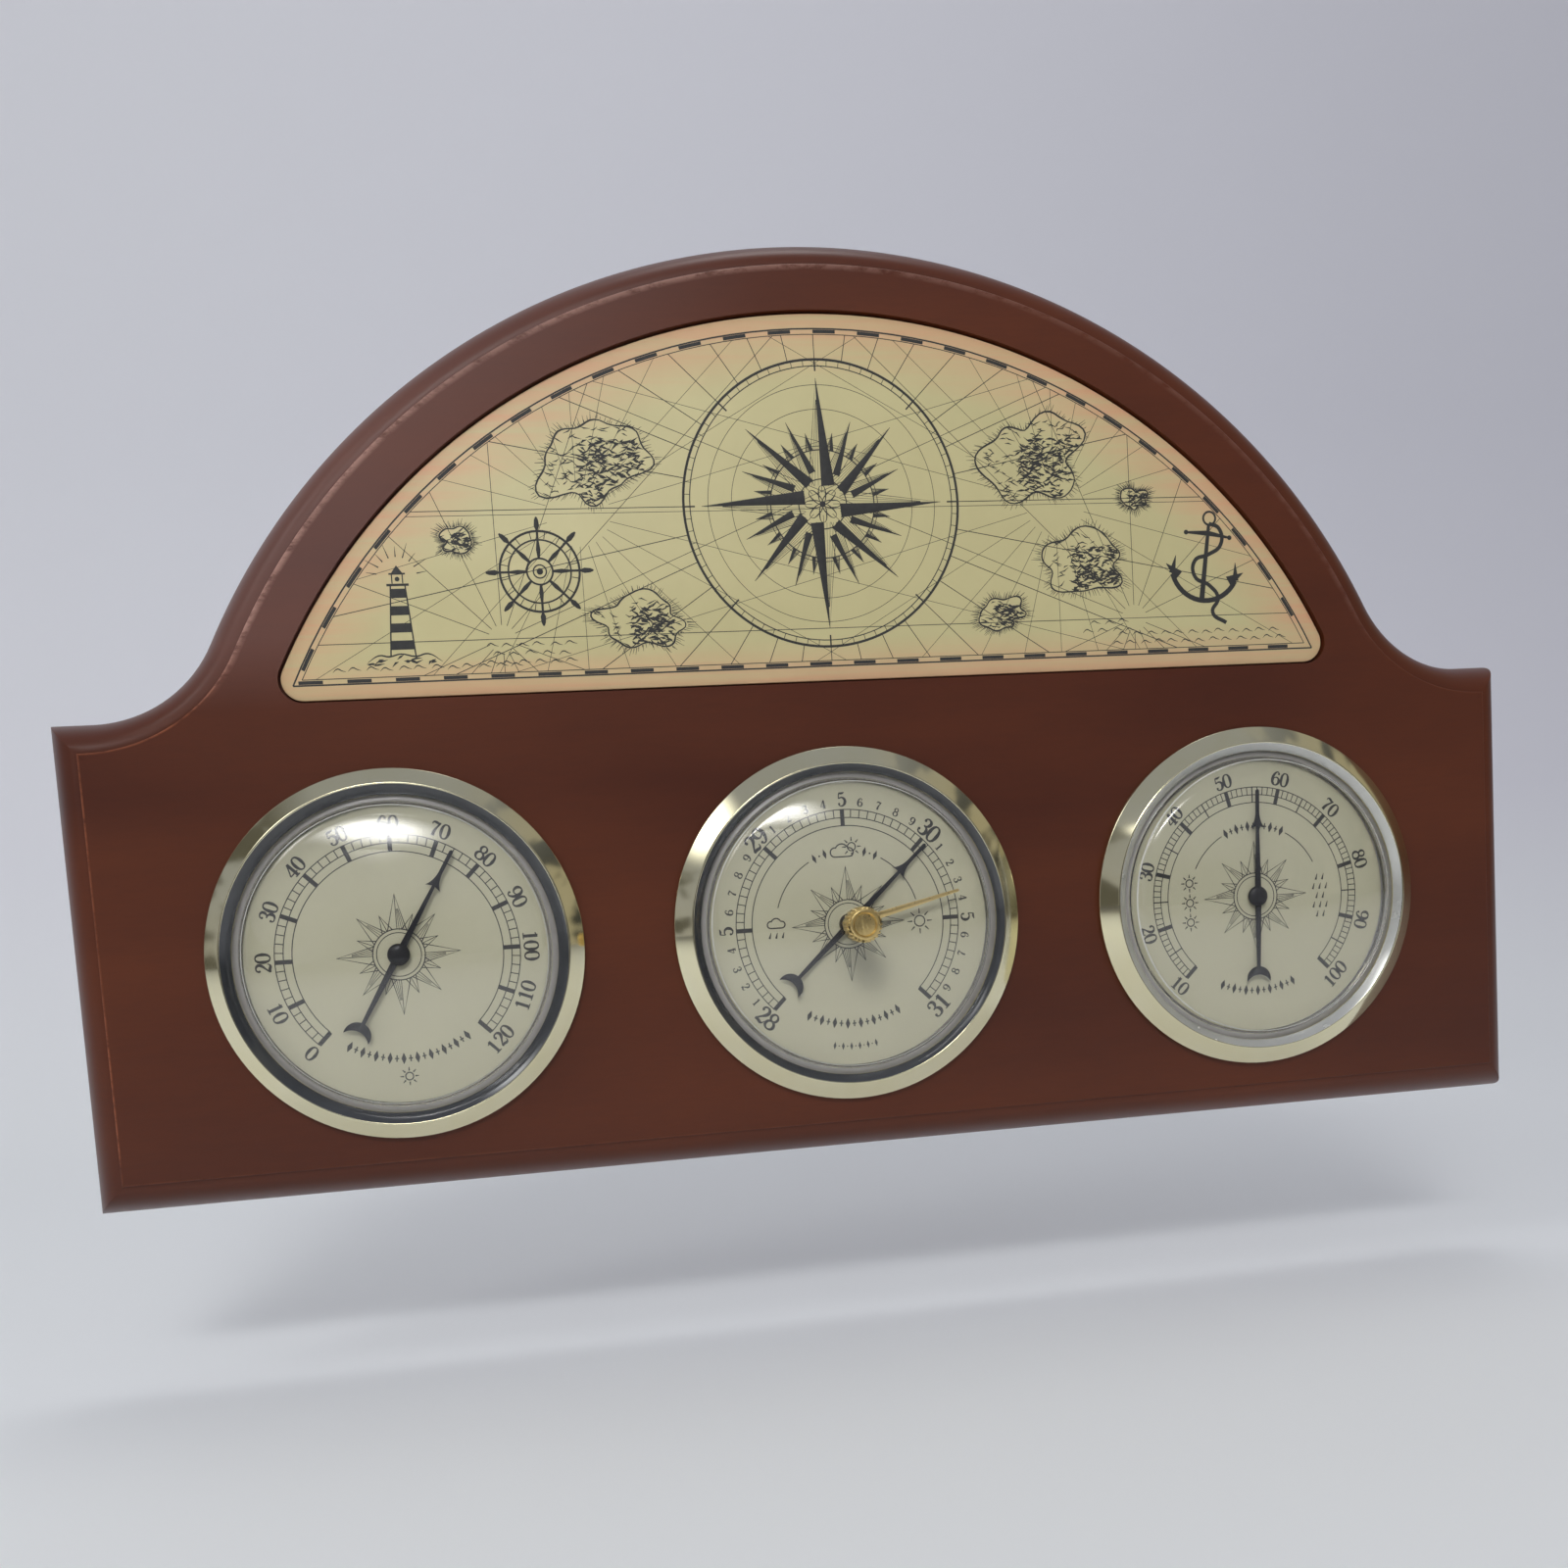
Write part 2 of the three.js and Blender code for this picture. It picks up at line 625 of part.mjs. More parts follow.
// Bezel, lens, gasket, dial, case and the rubber ring that holds the case in its bore
function housing(group, name, lensHoleRadius, caseHoles) {
  const gripInner = caseRearRadius + seat;
  const gripOuter = boreRadius - seat;
  const gasket = [
    [dialRadius - gasketWidth, gasketFront],
    [dialRadius, gasketFront],
    [dialRadius, gasketFront + gasketThickness],
    [dialRadius - gasketWidth, gasketFront + gasketThickness],
  ];
  const dial = [
    [dialHoleRadius, dialFront],
    [dialRadius, dialFront],
    [dialRadius, dialBack],
    [dialHoleRadius, dialBack],
  ];
  const grip = [
    [gripInner, gripRingFront],
    [gripOuter, gripRingFront],
    [gripOuter, gripRingFront + gripRingWidth],
    [gripInner, gripRingFront + gripRingWidth],
  ];
  piece(group, `${name}_bezel`, turned(bezelProfile(), largeSteps), goldFinish);
  piece(group, `${name}_lens`, turned(lensProfile(lensHoleRadius), largeSteps), glassFinish);
  piece(group, `${name}_lens_gasket`, turned(gasket, largeSteps), rubberFinish);
  piece(group, `${name}_dial`, turned(dial, largeSteps), dialFinish);
  piece(group, `${name}_case`, cut(turned(caseProfile(), largeSteps), ...caseHoles), steelFinish);
  piece(group, `${name}_grip_ring`, turned(grip, largeSteps), rubberFinish);
}

// Half of the pointer: crescent tail, tapering blade, barbs and a long neck to the blunt tip
function pointerOutline() {
  const hollowCentre = moonCentre - moonRadius + moonThickness + moonHollowRadius;
  const apart = hollowCentre - moonCentre;
  const hornDrop = (apart ** 2 + moonRadius ** 2 - moonHollowRadius ** 2) / (2 * apart);
  const hornX = Math.sqrt(moonRadius ** 2 - hornDrop ** 2);
  const hollow = arc(0, -hollowCentre, moonHollowRadius, Math.PI / 2, Math.atan2(apart - hornDrop, hornX), 4);
  const meeting = Math.acos(neckHalfWidth / moonRadius);
  const back = arc(0, -moonCentre, moonRadius, Math.atan2(-hornDrop, hornX), meeting, 5);
  const flank = new THREE.QuadraticBezierCurve(
    new THREE.Vector2(barbHalfWidth, barbRadius),
    new THREE.Vector2(barbWaistHalfWidth, barbRadius + barbWaistRise),
    new THREE.Vector2(neckHalfWidth, barbRadius + neckRise),
  );
  const half = [
    ...hollow.slice(1),
    ...back.slice(1),
    new THREE.Vector2(bladeRootHalfWidth, -handHubRadius),
    new THREE.Vector2(bladeRootHalfWidth, handHubRadius),
    new THREE.Vector2(bladeEndHalfWidth, barbRadius + barbNotch),
    ...flank.getPoints(3),
    new THREE.Vector2(neckHalfWidth, handTip),
  ];
  return [hollow[0], ...mirrored(half)];
}

// Turns a hand, drawn pointing up, to its reading; clockwise from the front
function turnToReading(hand, reading, [lowest, highest]) {
  const share = (reading - lowest) / (highest - lowest);
  hand.rotation.y = THREE.MathUtils.degToRad((share - 0.5) * scaleSweep);
}

// Stamped blade with a pressed cap that fits over the arbor's end
function pointer(group, name, reading, scale) {
  const hubBack = hubFront + handHubHeight;
  const cap = [
    [0, hubFront],
    [handHubFaceRadius, hubFront],
    [handHubRadius, hubFront + handHubHeight / 2],
    [handHubRadius, hubBack],
    [0, hubBack],
  ];
  const blade = plate(pointerOutline(), hubBack - handSheet - seat, handSheet);
  const socket = rod(arborRadius + seat, arborFront - seat, hubBack + past, smallSteps);
  const hand = cut(joined(turned(cap, middleSteps), blade), socket);
  turnToReading(piece(group, `${name}_pointer`, hand, blackFinish), reading, scale);
}

// A flat spiral strip that ends at the top of its last turn
function spiral(inner, outer, turns, sheet, front, width) {
  const steps = turns * coilStepsPerTurn;
  const edge = (offset) => Array.from({ length: steps + 1 }, (_, i) => {
    const angle = Math.PI / 2 - ((steps - i) / coilStepsPerTurn) * 2 * Math.PI;
    const radius = inner + ((outer - inner) * i) / steps + offset;
    return new THREE.Vector2(radius * Math.cos(angle), radius * Math.sin(angle));
  });
  return plate([...edge(sheet / 2), ...edge(-sheet / 2).reverse()], front, width);
}

// Thermometer and hygrometer: the coil's inner end turns the arbor, its outer end is held by a post
function coilMovement(group, name, reading, scale) {
  const coilFront = bushFlangeBack + coilStandOff;
  const coilBack = coilFront + coilWidth;
  const bridgeFront = coilBack + bridgeRoom;
  const bridgeBack = bridgeFront + bridgeSheet;
  const collarRadius = 2 * arborRadius;
  const collar = bridgeFront - slip;
  const bush = [
    [arborRadius + running, dialFront - bushRise],
    [bushRadius, dialFront - bushRise],
    [bushRadius, ledgeFront],
    [bushFlangeRadius, ledgeFront],
    [bushFlangeRadius, bushFlangeBack],
    [arborRadius + running, bushFlangeBack],
  ];
  const arbor = [
    [0, arborFront],
    [arborRadius, arborFront],
    [arborRadius, bushFlangeBack + slip],
    [collarRadius, bushFlangeBack + slip],
    [collarRadius, coilFront - seat],
    [colletRadius, coilFront - seat],
    [colletRadius, coilBack + seat],
    [collarRadius, coilBack + seat],
    [collarRadius, collar],
    [arborRadius, collar],
    [arborRadius, bridgeBack + seat],
    [0, bridgeBack + seat],
  ];
  const legInner = coilRadius + coilSheet + bridgeLegRoom;
  const legOuter = legInner + bridgeSheet;
  const footEnd = legOuter + bridgeFootLength - bridgeSheet;
  const footBack = ledgeFront + bridgeSheet;
  const bridge = [
    [-footEnd, ledgeFront],
    [-legInner, ledgeFront],
    [-legInner, bridgeFront],
    [legInner, bridgeFront],
    [legInner, ledgeFront],
    [footEnd, ledgeFront],
    [footEnd, footBack],
    [legOuter, footBack],
    [legOuter, bridgeBack],
    [-legOuter, bridgeBack],
    [-legOuter, footBack],
    [-footEnd, footBack],
  ];
  const band = strip(bridge, -bridgeWidth / 2, bridgeWidth / 2);
  const pivot = rod(arborRadius + running, bridgeFront - past, bridgeBack + past, smallSteps);
  const coilInner = colletRadius + seat + coilSheet / 2;
  const postInner = coilRadius + coilSheet / 2 + seat;
  const postOuter = postInner + postSheet;
  const leg = [
    new THREE.Vector2(-postWidth / 2, postInner),
    new THREE.Vector2(postWidth / 2, postInner),
    new THREE.Vector2(postWidth / 2, postOuter),
    new THREE.Vector2(-postWidth / 2, postOuter),
  ];
  const foot = leg.map(({ x, y }) => new THREE.Vector2(x, y > postInner ? postInner + postFootLength : y));
  const post = joined(
    plate(leg, ledgeFront, coilBack + seat - ledgeFront),
    plate(foot, ledgeFront, postSheet),
  );
  const coil = spiral(coilInner, coilRadius, coilTurns, coilSheet, coilFront, coilWidth);
  piece(group, `${name}_bush`, turned(bush, smallSteps), brassFinish);
  piece(group, `${name}_arbor`, turned(arbor, smallSteps), steelFinish);
  piece(group, `${name}_bridge`, cut(band, pivot), brassFinish);
  piece(group, `${name}_coil`, coil, brassFinish);
  piece(group, `${name}_coil_post`, post, brassFinish);
  pointer(group, name, reading, scale);
}

// A shaft, bore or rolled eye along the height, at a pivot of the barometer's levers
function shaft(x, radius, length) {
  const geometry = new THREE.CylinderGeometry(radius, radius, length, smallSteps);
  geometry.rotateX(Math.PI / 2);
  geometry.translate(x, pivotDepth, 0);
  return geometry;
}

const shaftLength = lugSpacing + 2 * (lugSheet + shaftEnd);

// Base plate on the floor of the case; two pairs of lugs are bent up for the shafts of the rocker and the arm
function basePlate(group) {
  const pivots = [pivotX, armPivotX];
  const halfX = Math.max(...pivots.map(Math.abs)) + 3 * lugRadius;
  const screwHole = circle(capsuleOffset, 0, screwRadius + slip, middleSteps);
  const tenonHoleRadius = pillarWaistRadius + seat;
  const tenonHoles = [-1, 1].map((side) => circle(0, side * pillarHeight, tenonHoleRadius, smallSteps));
  const outline = roundedRectangle(halfX, basePlateHalfHeight, basePlateCorner, cornerSteps);
  const base = plate(outline, basePlateFront, basePlateSheet, [screwHole, ...tenonHoles]);
  const rear = basePlateFront + basePlateSheet / 2;
  const lugs = pivots.flatMap((x) => {
    const crown = pairs(arc(x, pivotDepth, lugRadius, -Math.PI, 0, 2 * cornerSteps));
    const lugOutline = [...crown, [x + lugRadius, rear], [x - lugRadius, rear]];
    return [-1, 1].map((side) => {
      const middle = (side * (lugSpacing + lugSheet)) / 2;
      return strip(lugOutline, middle - lugSheet / 2, middle + lugSheet / 2);
    });
  });
  const bores = pivots.map((x) => shaft(x, shaftRadius + running, shaftLength + 2 * past));
  piece(group, 'barometer_base_plate', cut(joined(base, ...lugs), ...bores), brassFinish);
}

// Two pillars, tenoned into the base plate, carry the rear plate on a shoulder and the front plate on another
function pillarsAndPlates(group) {
  const pillar = [
    [0, frontPlateFront - seat],
    [pillarTenonRadius, frontPlateFront - seat],
    [pillarTenonRadius, frontPlateBack + seat],
    [pillarWaistRadius, frontPlateBack + seat],
    [pillarWaistRadius, rearPlateBack + seat],
    [pillarRadius, rearPlateBack + seat],
    [pillarRadius, basePlateFront - seat],
    [pillarWaistRadius, basePlateFront - seat],
    [pillarWaistRadius, basePlateBack],
    [0, basePlateBack],
  ];
  [['top', 1], ['bottom', -1]].forEach(([name, side]) => {
    const post = piece(group, `barometer_pillar_${name}`, turned(pillar, smallSteps), brassFinish);
    post.position.z = side * pillarHeight;
  });
  const outline = roundedRectangle(plateHalfWidth, pillarHeight + plateEnd, plateCorner, cornerSteps);
  const drilled = (pillarHole, pivotHole) => [
    circle(0, 0, pivotHole, smallSteps),
    circle(0, pillarHeight, pillarHole, smallSteps),
    circle(0, -pillarHeight, pillarHole, smallSteps),
  ];
  const frontHoles = drilled(pillarTenonRadius + seat, arborRadius + running);
  const rearHoles = drilled(pillarWaistRadius + seat, rearPivotRadius + running);
  const frontPlate = plate(outline, frontPlateFront, plateSheet, frontHoles);
  const rearPlate = plate(outline, rearPlateFront, plateSheet, rearHoles);
  piece(group, 'barometer_front_plate', frontPlate, brassFinish);
  piece(group, 'barometer_rear_plate', rearPlate, brassFinish);
}

// Corrugated capsule between the slotted adjusting screw, its foot, and the arm that it lifts
function capsuleAndScrew(group) {
  const middle = (capsuleFront + capsuleBack) / 2;
  const rim = capsuleRimThickness / 2;
  const skin = capsuleThickness / 2 - capsuleSkinInset;
  const first = capsuleBossRadius + capsuleSkinStart;
  const last = capsuleRadius - capsuleRimWidth;
  const steps = 2 * capsuleWaves;
  const face = [[0, middle - capsuleThickness / 2], [capsuleBossRadius, middle - capsuleThickness / 2]];
  for (let i = 0; i <= steps; i += 1) {
    const share = i / steps;
    const height = skin + capsuleWaveHeight * Math.cos(share * capsuleWaves * 2 * Math.PI);
    face.push([first + (last - first) * share, middle - height]);
  }
  face.push([last, middle - rim], [capsuleRadius, middle - rim]);
  const other = face.map(([radius, depth]) => [radius, 2 * middle - depth]).reverse();
  const capsule = piece(group, 'barometer_capsule', turned([...face, ...other], middleSteps), steelFinish);
  capsule.position.x = capsuleOffset;
  const screwBack = caseBack - seat;
  const body = rod(screwRadius, screwFront, screwBack, middleSteps);
  const slot = new THREE.BoxGeometry(2 * screwRadius + past, 2 * screwSlotDepth, screwSlotWidth);
  slot.translate(0, screwBack, 0);
  const screw = piece(group, 'barometer_capsule_screw', cut(body, slot), steelFinish);
  screw.position.x = capsuleOffset;
}

// Arm over the capsule, turning on its own shaft; its foot bears on the rocker's crank pin
function capsuleArm(group) {
  const legX = capsuleOffset - capsuleRadius - armLegGap;
  const footBack = pivotDepth - crankPinRadius - slip;
  const footFront = footBack - armSheet;
  const bend = [
    [armPivotX + armSheet / 2, armFront],
    [armPivotX + armSheet / 2, pivotDepth],
    [armPivotX - armSheet / 2, pivotDepth],
    [armPivotX - armSheet / 2, armBack],
    [legX, armBack],
    [legX, footBack],
    [legX - armSheet, footBack],
    [legX - armSheet, armFront],
  ];
  const foot = [
    [pivotX + shaftRadius + seat, footFront],
    [legX - armSheet / 2, footFront],
    [legX - armSheet / 2, footBack],
    [pivotX + shaftRadius + seat, footBack],
  ];
  const arm = joined(
    strip(bend, -armHalfWidth, armHalfWidth),
    strip(foot, -armHalfWidth, armFootWidth - armHalfWidth),
    shaft(armPivotX, armEyeRadius, 2 * armHalfWidth),
    shaft(armPivotX, shaftRadius, shaftLength),
  );
  piece(group, 'barometer_capsule_arm', arm, steelFinish);
}

// Shaft in the two lugs, with a short crank for the capsule arm and a long blade that draws the chain
function rocker(group) {
  const tipFront = chainDepth - chainWidth;
  const root = pairs(arc(pivotX, pivotDepth, bladeRootRadius, 0, Math.PI, 2 * cornerSteps));
  const blade = [...root, [pivotX - bladeTipHalfWidth, tipFront], [pivotX + bladeTipHalfWidth, tipFront]];
  const bladeLow = rockerSheetGap - crankDrop;
  const pinX = pivotX + crankLength;
  const eye = pairs(arc(pinX, pivotDepth, crankEyeRadius, -Math.PI / 2, Math.PI / 2, 2 * cornerSteps));
  const crankRoot = [[pivotX, pivotDepth + crankRootHalfWidth], [pivotX, pivotDepth - crankRootHalfWidth]];
  const crank = strip([...eye, ...crankRoot], -crankDrop - rockerSheet, -crankDrop);
  const pinTop = -crankDrop - rockerSheet / 2;
  const pin = new THREE.CylinderGeometry(crankPinRadius, crankPinRadius, armHalfWidth + pinTop, smallSteps);
  pin.rotateX(Math.PI / 2);
  pin.translate(pinX, pivotDepth, (pinTop - armHalfWidth) / 2);
  const whole = joined(
    shaft(pivotX, shaftRadius, shaftLength),
    strip(blade, bladeLow, bladeLow + rockerSheet),
    crank,
    pin,
  );
  piece(group, 'barometer_rocker', whole, steelFinish);
}

// Chain from the rocker's tip, over the top of the drum and down round its far side
function chain(group) {
  const inner = drumRadius + slip;
  const outer = inner + chainWidth;
  const end = pivotX + bladeTipHalfWidth + slip;
  const wrap = (radius, from, to) => arc(0, 0, radius, from, to, smallSteps);
  const outline = [
    new THREE.Vector2(end, outer),
    new THREE.Vector2(end, inner),
    ...wrap(inner, Math.PI / 2, -Math.PI / 2),
    ...wrap(outer, -Math.PI / 2, Math.PI / 2),
  ];
  piece(group, 'barometer_chain', plate(outline, chainDepth - chainWidth / 2, chainWidth), steelFinish);
}

// Arbor with the hairspring's collet and the chain's flanged drum; the hairspring's outer end is on a stud
function arborAndHairspring(group) {
  const groove = drumFront + drumFlangeThickness;
  const arbor = [
    [0, arborFront],
    [arborRadius, arborFront],
    [arborRadius, frontPlateBack + slip],
    [hairspringColletRadius, frontPlateBack + slip],
    [hairspringColletRadius, drumFront],
    [drumFlangeRadius, drumFront],
    [drumFlangeRadius, groove],
    [drumRadius, groove],
    [drumRadius, groove + drumWidth],
    [drumFlangeRadius, groove + drumWidth],
    [drumFlangeRadius, drumBack],
    [rearPivotRadius, drumBack],
    [rearPivotRadius, rearPlateBack + seat],
    [0, rearPlateBack + seat],
  ];
  const springInner = hairspringColletRadius + seat + hairspringSheet / 2;
  const hairspring = spiral(
    springInner,
    hairspringRadius,
    coilTurns,
    hairspringSheet,
    hairspringFront,
    hairspringWidth,
  );
  const studZ = hairspringRadius + hairspringSheet / 2 + seat + studRadius;
  const stud = rod(studRadius, frontPlateBack + seat, hairspringBack + seat, smallSteps, 0, studZ);
  piece(group, 'barometer_arbor', turned(arbor, smallSteps), steelFinish);
  piece(group, 'barometer_hairspring', hairspring, steelFinish);
  piece(group, 'barometer_hairspring_stud', stud, brassFinish);
}

// Gold set hand on the knob's shaft; a spring washer under the lens keeps the knob in its hole
function setHand(group) {
  const hubBack = hubFront - setHandLift;
  const hubTop = hubBack - setHandHubHeight;
  const boreFit = setShaftRadius + seat;
  const hub = [
    [0, hubTop],
    [setHandHubFaceRadius, hubTop],
    [setHandHubRadius, hubTop + setHandHubRound],
    [setHandHubRadius, hubBack],
    [0, hubBack],
  ];
  const outline = mirrored([
    new THREE.Vector2(setHandRootHalfWidth, 0),
    new THREE.Vector2(setHandTipHalfWidth, setHandTip),
  ]);
  const blade = plate(outline, hubBack - setHandHubHeight / 2, handSheet);
  const bore = rod(boreFit, hubTop - past, hubBack + past, smallSteps);
  const hand = cut(joined(turned(hub, middleSteps), blade), bore);
  turnToReading(piece(group, 'barometer_set_hand', hand, brassFinish), setHandReading, barometerScale);

  const neckBack = lensFront - slip;
  const bodyBack = neckBack - knobNeckHeight;
  const face = neckBack - knobHeight;
  const coreRadius = knobRadius - knobRimWidth;
  const core = [
    [0, hubBack - seat],
    [setShaftRadius, hubBack - seat],
    [setShaftRadius, neckBack],
    [knobNeckRadius, neckBack],
    [knobNeckRadius, bodyBack],
    [coreRadius, bodyBack],
    [coreRadius, face + knobRimWidth],
    [coreRadius - knobRimWidth / 2, face],
    [knobRecessRadius, face],
    [knobRecessRadius, face + knobRecessDepth],
    [0, face + knobRecessDepth],
  ];
  const teeth = Array.from({ length: 2 * knobTeeth }, (_, i) => {
    const radius = knobRadius - (i % 2) * knobToothDepth;
    const angle = (i / knobTeeth) * Math.PI;
    return new THREE.Vector2(radius * Math.cos(angle), radius * Math.sin(angle));
  });
  const knurl = plate(teeth, face + knobRimWidth, bodyBack - face - 1.5 * knobRimWidth);
  const knob = joined(turned(core, middleSteps), knurl);
  turnToReading(piece(group, 'barometer_set_knob', knob, brassFinish), setHandReading, barometerScale);

  const washerFront = lensFront + lensSheet + slip;
  const washer = [
    [boreFit, washerFront],
    [washerRadius, washerFront],
    [washerRadius, washerFront + washerThickness],
    [boreFit, washerFront + washerThickness],
  ];
  piece(group, 'barometer_set_hand_washer', turned(washer, smallSteps), steelFinish);
}

function barometerMovement(group) {
  basePlate(group);
  pillarsAndPlates(group);
  capsuleAndScrew(group);
  capsuleArm(group);
  rocker(group);
  chain(group);
  arborAndHairspring(group);
  pointer(group, 'barometer', barometerReading, barometerScale);
  setHand(group);
}

const station = new THREE.Group();
const front = new THREE.Group();
front.position.set(0, -wallDepth, -hangerHeightAboveDials);
station.add(front);

plaque(front);
backFittings(front);

const places = ['thermometer', 'barometer', 'hygrometer'].map((name, i) => {
  const group = new THREE.Group();
  group.position.x = (i - 1) * dialSpacing;
  front.add(group);
  return group;
});
const [thermometer, barometer, hygrometer] = places;

housing(thermometer, 'thermometer', 0, []);
coilMovement(thermometer, 'thermometer', thermometerReading, thermometerScale);

const throughBack = [caseFloor - past, caseBack + past];
const screwHole = rod(screwRadius + screwHoleRoom, ...throughBack, middleSteps, capsuleOffset);
housing(barometer, 'barometer', setShaftRadius + slip, [screwHole]);
barometerMovement(barometer);

// The hygrometer's case breathes through a ring of holes in its back
const vents = circle(0, 0, ventRing, ventCount).map(({ x, y }) =>
  rod(ventRadius, ...throughBack, smallSteps, x, y));
housing(hygrometer, 'hygrometer', 0, vents);
coilMovement(hygrometer, 'hygrometer', hygrometerReading, hygrometerScale);

export default station;
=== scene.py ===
import json
import math
import random

import bmesh
import bpy
from mathutils import Matrix, Vector

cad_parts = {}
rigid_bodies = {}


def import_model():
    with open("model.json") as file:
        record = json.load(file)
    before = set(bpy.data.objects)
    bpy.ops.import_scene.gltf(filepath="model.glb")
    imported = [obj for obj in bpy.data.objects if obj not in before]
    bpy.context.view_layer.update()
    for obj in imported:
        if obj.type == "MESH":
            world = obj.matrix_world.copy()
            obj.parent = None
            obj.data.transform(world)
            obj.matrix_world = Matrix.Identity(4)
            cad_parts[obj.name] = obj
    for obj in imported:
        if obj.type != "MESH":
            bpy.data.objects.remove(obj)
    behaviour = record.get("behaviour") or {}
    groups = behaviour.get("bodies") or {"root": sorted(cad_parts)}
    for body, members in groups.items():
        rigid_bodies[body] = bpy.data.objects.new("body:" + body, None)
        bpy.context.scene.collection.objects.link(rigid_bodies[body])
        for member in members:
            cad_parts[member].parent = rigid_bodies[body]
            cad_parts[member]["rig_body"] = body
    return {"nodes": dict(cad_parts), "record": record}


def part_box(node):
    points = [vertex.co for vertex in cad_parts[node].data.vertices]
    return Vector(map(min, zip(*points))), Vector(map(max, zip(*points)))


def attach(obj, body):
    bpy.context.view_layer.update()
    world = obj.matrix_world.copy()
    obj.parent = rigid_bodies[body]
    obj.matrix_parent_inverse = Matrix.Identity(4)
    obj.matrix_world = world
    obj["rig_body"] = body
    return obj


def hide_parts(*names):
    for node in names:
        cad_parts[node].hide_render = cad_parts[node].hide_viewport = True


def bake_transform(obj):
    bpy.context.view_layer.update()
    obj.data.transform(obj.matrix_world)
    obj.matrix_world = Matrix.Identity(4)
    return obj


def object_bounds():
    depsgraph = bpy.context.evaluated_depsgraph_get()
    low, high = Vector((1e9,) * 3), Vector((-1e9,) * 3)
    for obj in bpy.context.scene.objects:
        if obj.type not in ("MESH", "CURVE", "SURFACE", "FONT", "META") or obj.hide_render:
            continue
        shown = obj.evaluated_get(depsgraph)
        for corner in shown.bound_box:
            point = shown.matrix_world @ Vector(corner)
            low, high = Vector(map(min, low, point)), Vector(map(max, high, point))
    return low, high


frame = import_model()
cad_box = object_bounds()

# Camera. It stands a little to the left of the barometer and slightly above the line of the dials, tilted as
# a hand-held camera is. Its sensor is shifted so that the plaque stands low in the frame.
mm = 0.001
camera_data = bpy.data.cameras.new("camera")
camera_data.sensor_width = 36
camera_data.lens = 33.58
camera_data.shift_y = 0.1523
camera_data.clip_start = 10 * mm
camera = bpy.data.objects.new("camera", camera_data)
camera.location = (-0.07117, -0.34664, -0.11685)
camera.rotation_euler = [math.radians(angle) for angle in (84.880, 3.642, -9.924)]
bpy.context.scene.collection.objects.link(camera)
bpy.context.scene.camera = camera
bpy.context.scene.view_settings.view_transform = "Standard"


# Floor and backdrop. One pale seamless sheet lies under the plaque and curves up behind it, and the room that
# the metal and the lenses mirror is the same pale grey, but dark behind the camera and with bright panes
# on a dark wall at the right. The sheet's colour holds painted light and shade: it is painted darker towards
# the right, lighter where it lies flat, and dark in front of the plaque for the dark room behind the camera.
class Link:
    """A value on its way from one node to the next. Sums written with it become Math nodes."""

    def __init__(self, finish, socket):
        self.finish = finish
        self.socket = socket

    def maths(self, operation, first, second):
        return self.finish.node("ShaderNodeMath", {0: first, 1: second}, operation=operation)

    def __add__(self, other):
        return self.maths("ADD", self, other)

    def __sub__(self, other):
        return self.maths("SUBTRACT", self, other)

    def __rsub__(self, other):
        return self.maths("SUBTRACT", other, self)

    def __mul__(self, other):
        return self.maths("MULTIPLY", self, other)


class Finish:
    """A finish, or the room's light, built from shader nodes."""

    def __init__(self, name, owner=None):
        self.owner = owner or bpy.data.materials.new(name)
        self.owner.use_nodes = True
        self.tree = self.owner.node_tree
        self.tree.nodes.clear()

    def node(self, kind, sockets, out=0, **settings):
        """A shader node with its inputs set or linked; gives one of its outputs."""
        made = self.tree.nodes.new(kind)
        for name, value in settings.items():
            setattr(made, name, value)
        for name, value in sockets.items():
            if isinstance(value, Link):
                self.tree.links.new(value.socket, made.inputs[name])
            else:
                made.inputs[name].default_value = value
        return Link(self, made.outputs[out]) if made.outputs else None

    def vector(self, operation, first, second=(0, 0, 0), out="Vector"):
        return self.node("ShaderNodeVectorMath", {0: first, 1: second}, out, operation=operation)

    def place(self, stretch=(1, 1, 1), centre=(0, 0, 0)):
        """Where a point of the piece lies, seen from centre and stretched."""
        coordinates = self.node("ShaderNodeTexCoord", {}, "Object")
        return self.vector("MULTIPLY", self.vector("SUBTRACT", coordinates, centre), stretch)

    def axis(self, name, place=None):
        """One coordinate of a place, or of where a point of the piece lies."""
        return self.node("ShaderNodeSeparateXYZ", {0: place or self.place()}, name)

    def noise(self, *stretch, detail=3.0, rough=0.6):
        """Noise over the piece, stretched alike all ways or by a value for each axis."""
        place = self.place(stretch if len(stretch) == 3 else stretch * 3)
        sockets = {"Vector": place, "Scale": 1.0, "Detail": detail, "Roughness": rough}
        return self.node("ShaderNodeTexNoise", sockets)

    def between(self, low, high, value):
        """0 where value is low, 1 where it is high, and a straight ramp between them."""
        return self.node("ShaderNodeMapRange", {"Value": value, "From Min": low, "From Max": high})

    def mixed(self, share, first, second):
        return self.node("ShaderNodeMix", {0: share, 6: first, 7: second}, 2, data_type="RGBA")

    def bump(self, height, distance, strength):
        """Relief from a height, up to a distance in millimetres."""
        sockets = {"Height": height, "Distance": distance * mm, "Strength": strength}
        return self.node("ShaderNodeBump", sockets)

    def painted(self, sockets, through=0):
        """The finished material. A share of the lamps' light can pass straight through it."""
        shader = self.node("ShaderNodeBsdfPrincipled", sockets)
        if through:
            lamp_ray = self.node("ShaderNodeLightPath", {}, "Is Shadow Ray")
            clear = self.node("ShaderNodeBsdfTransparent", {})
            shader = self.node("ShaderNodeMixShader", {0: lamp_ray * through, 1: shader, 2: clear})
        self.node("ShaderNodeOutputMaterial", {"Surface": shader})
        return self.owner


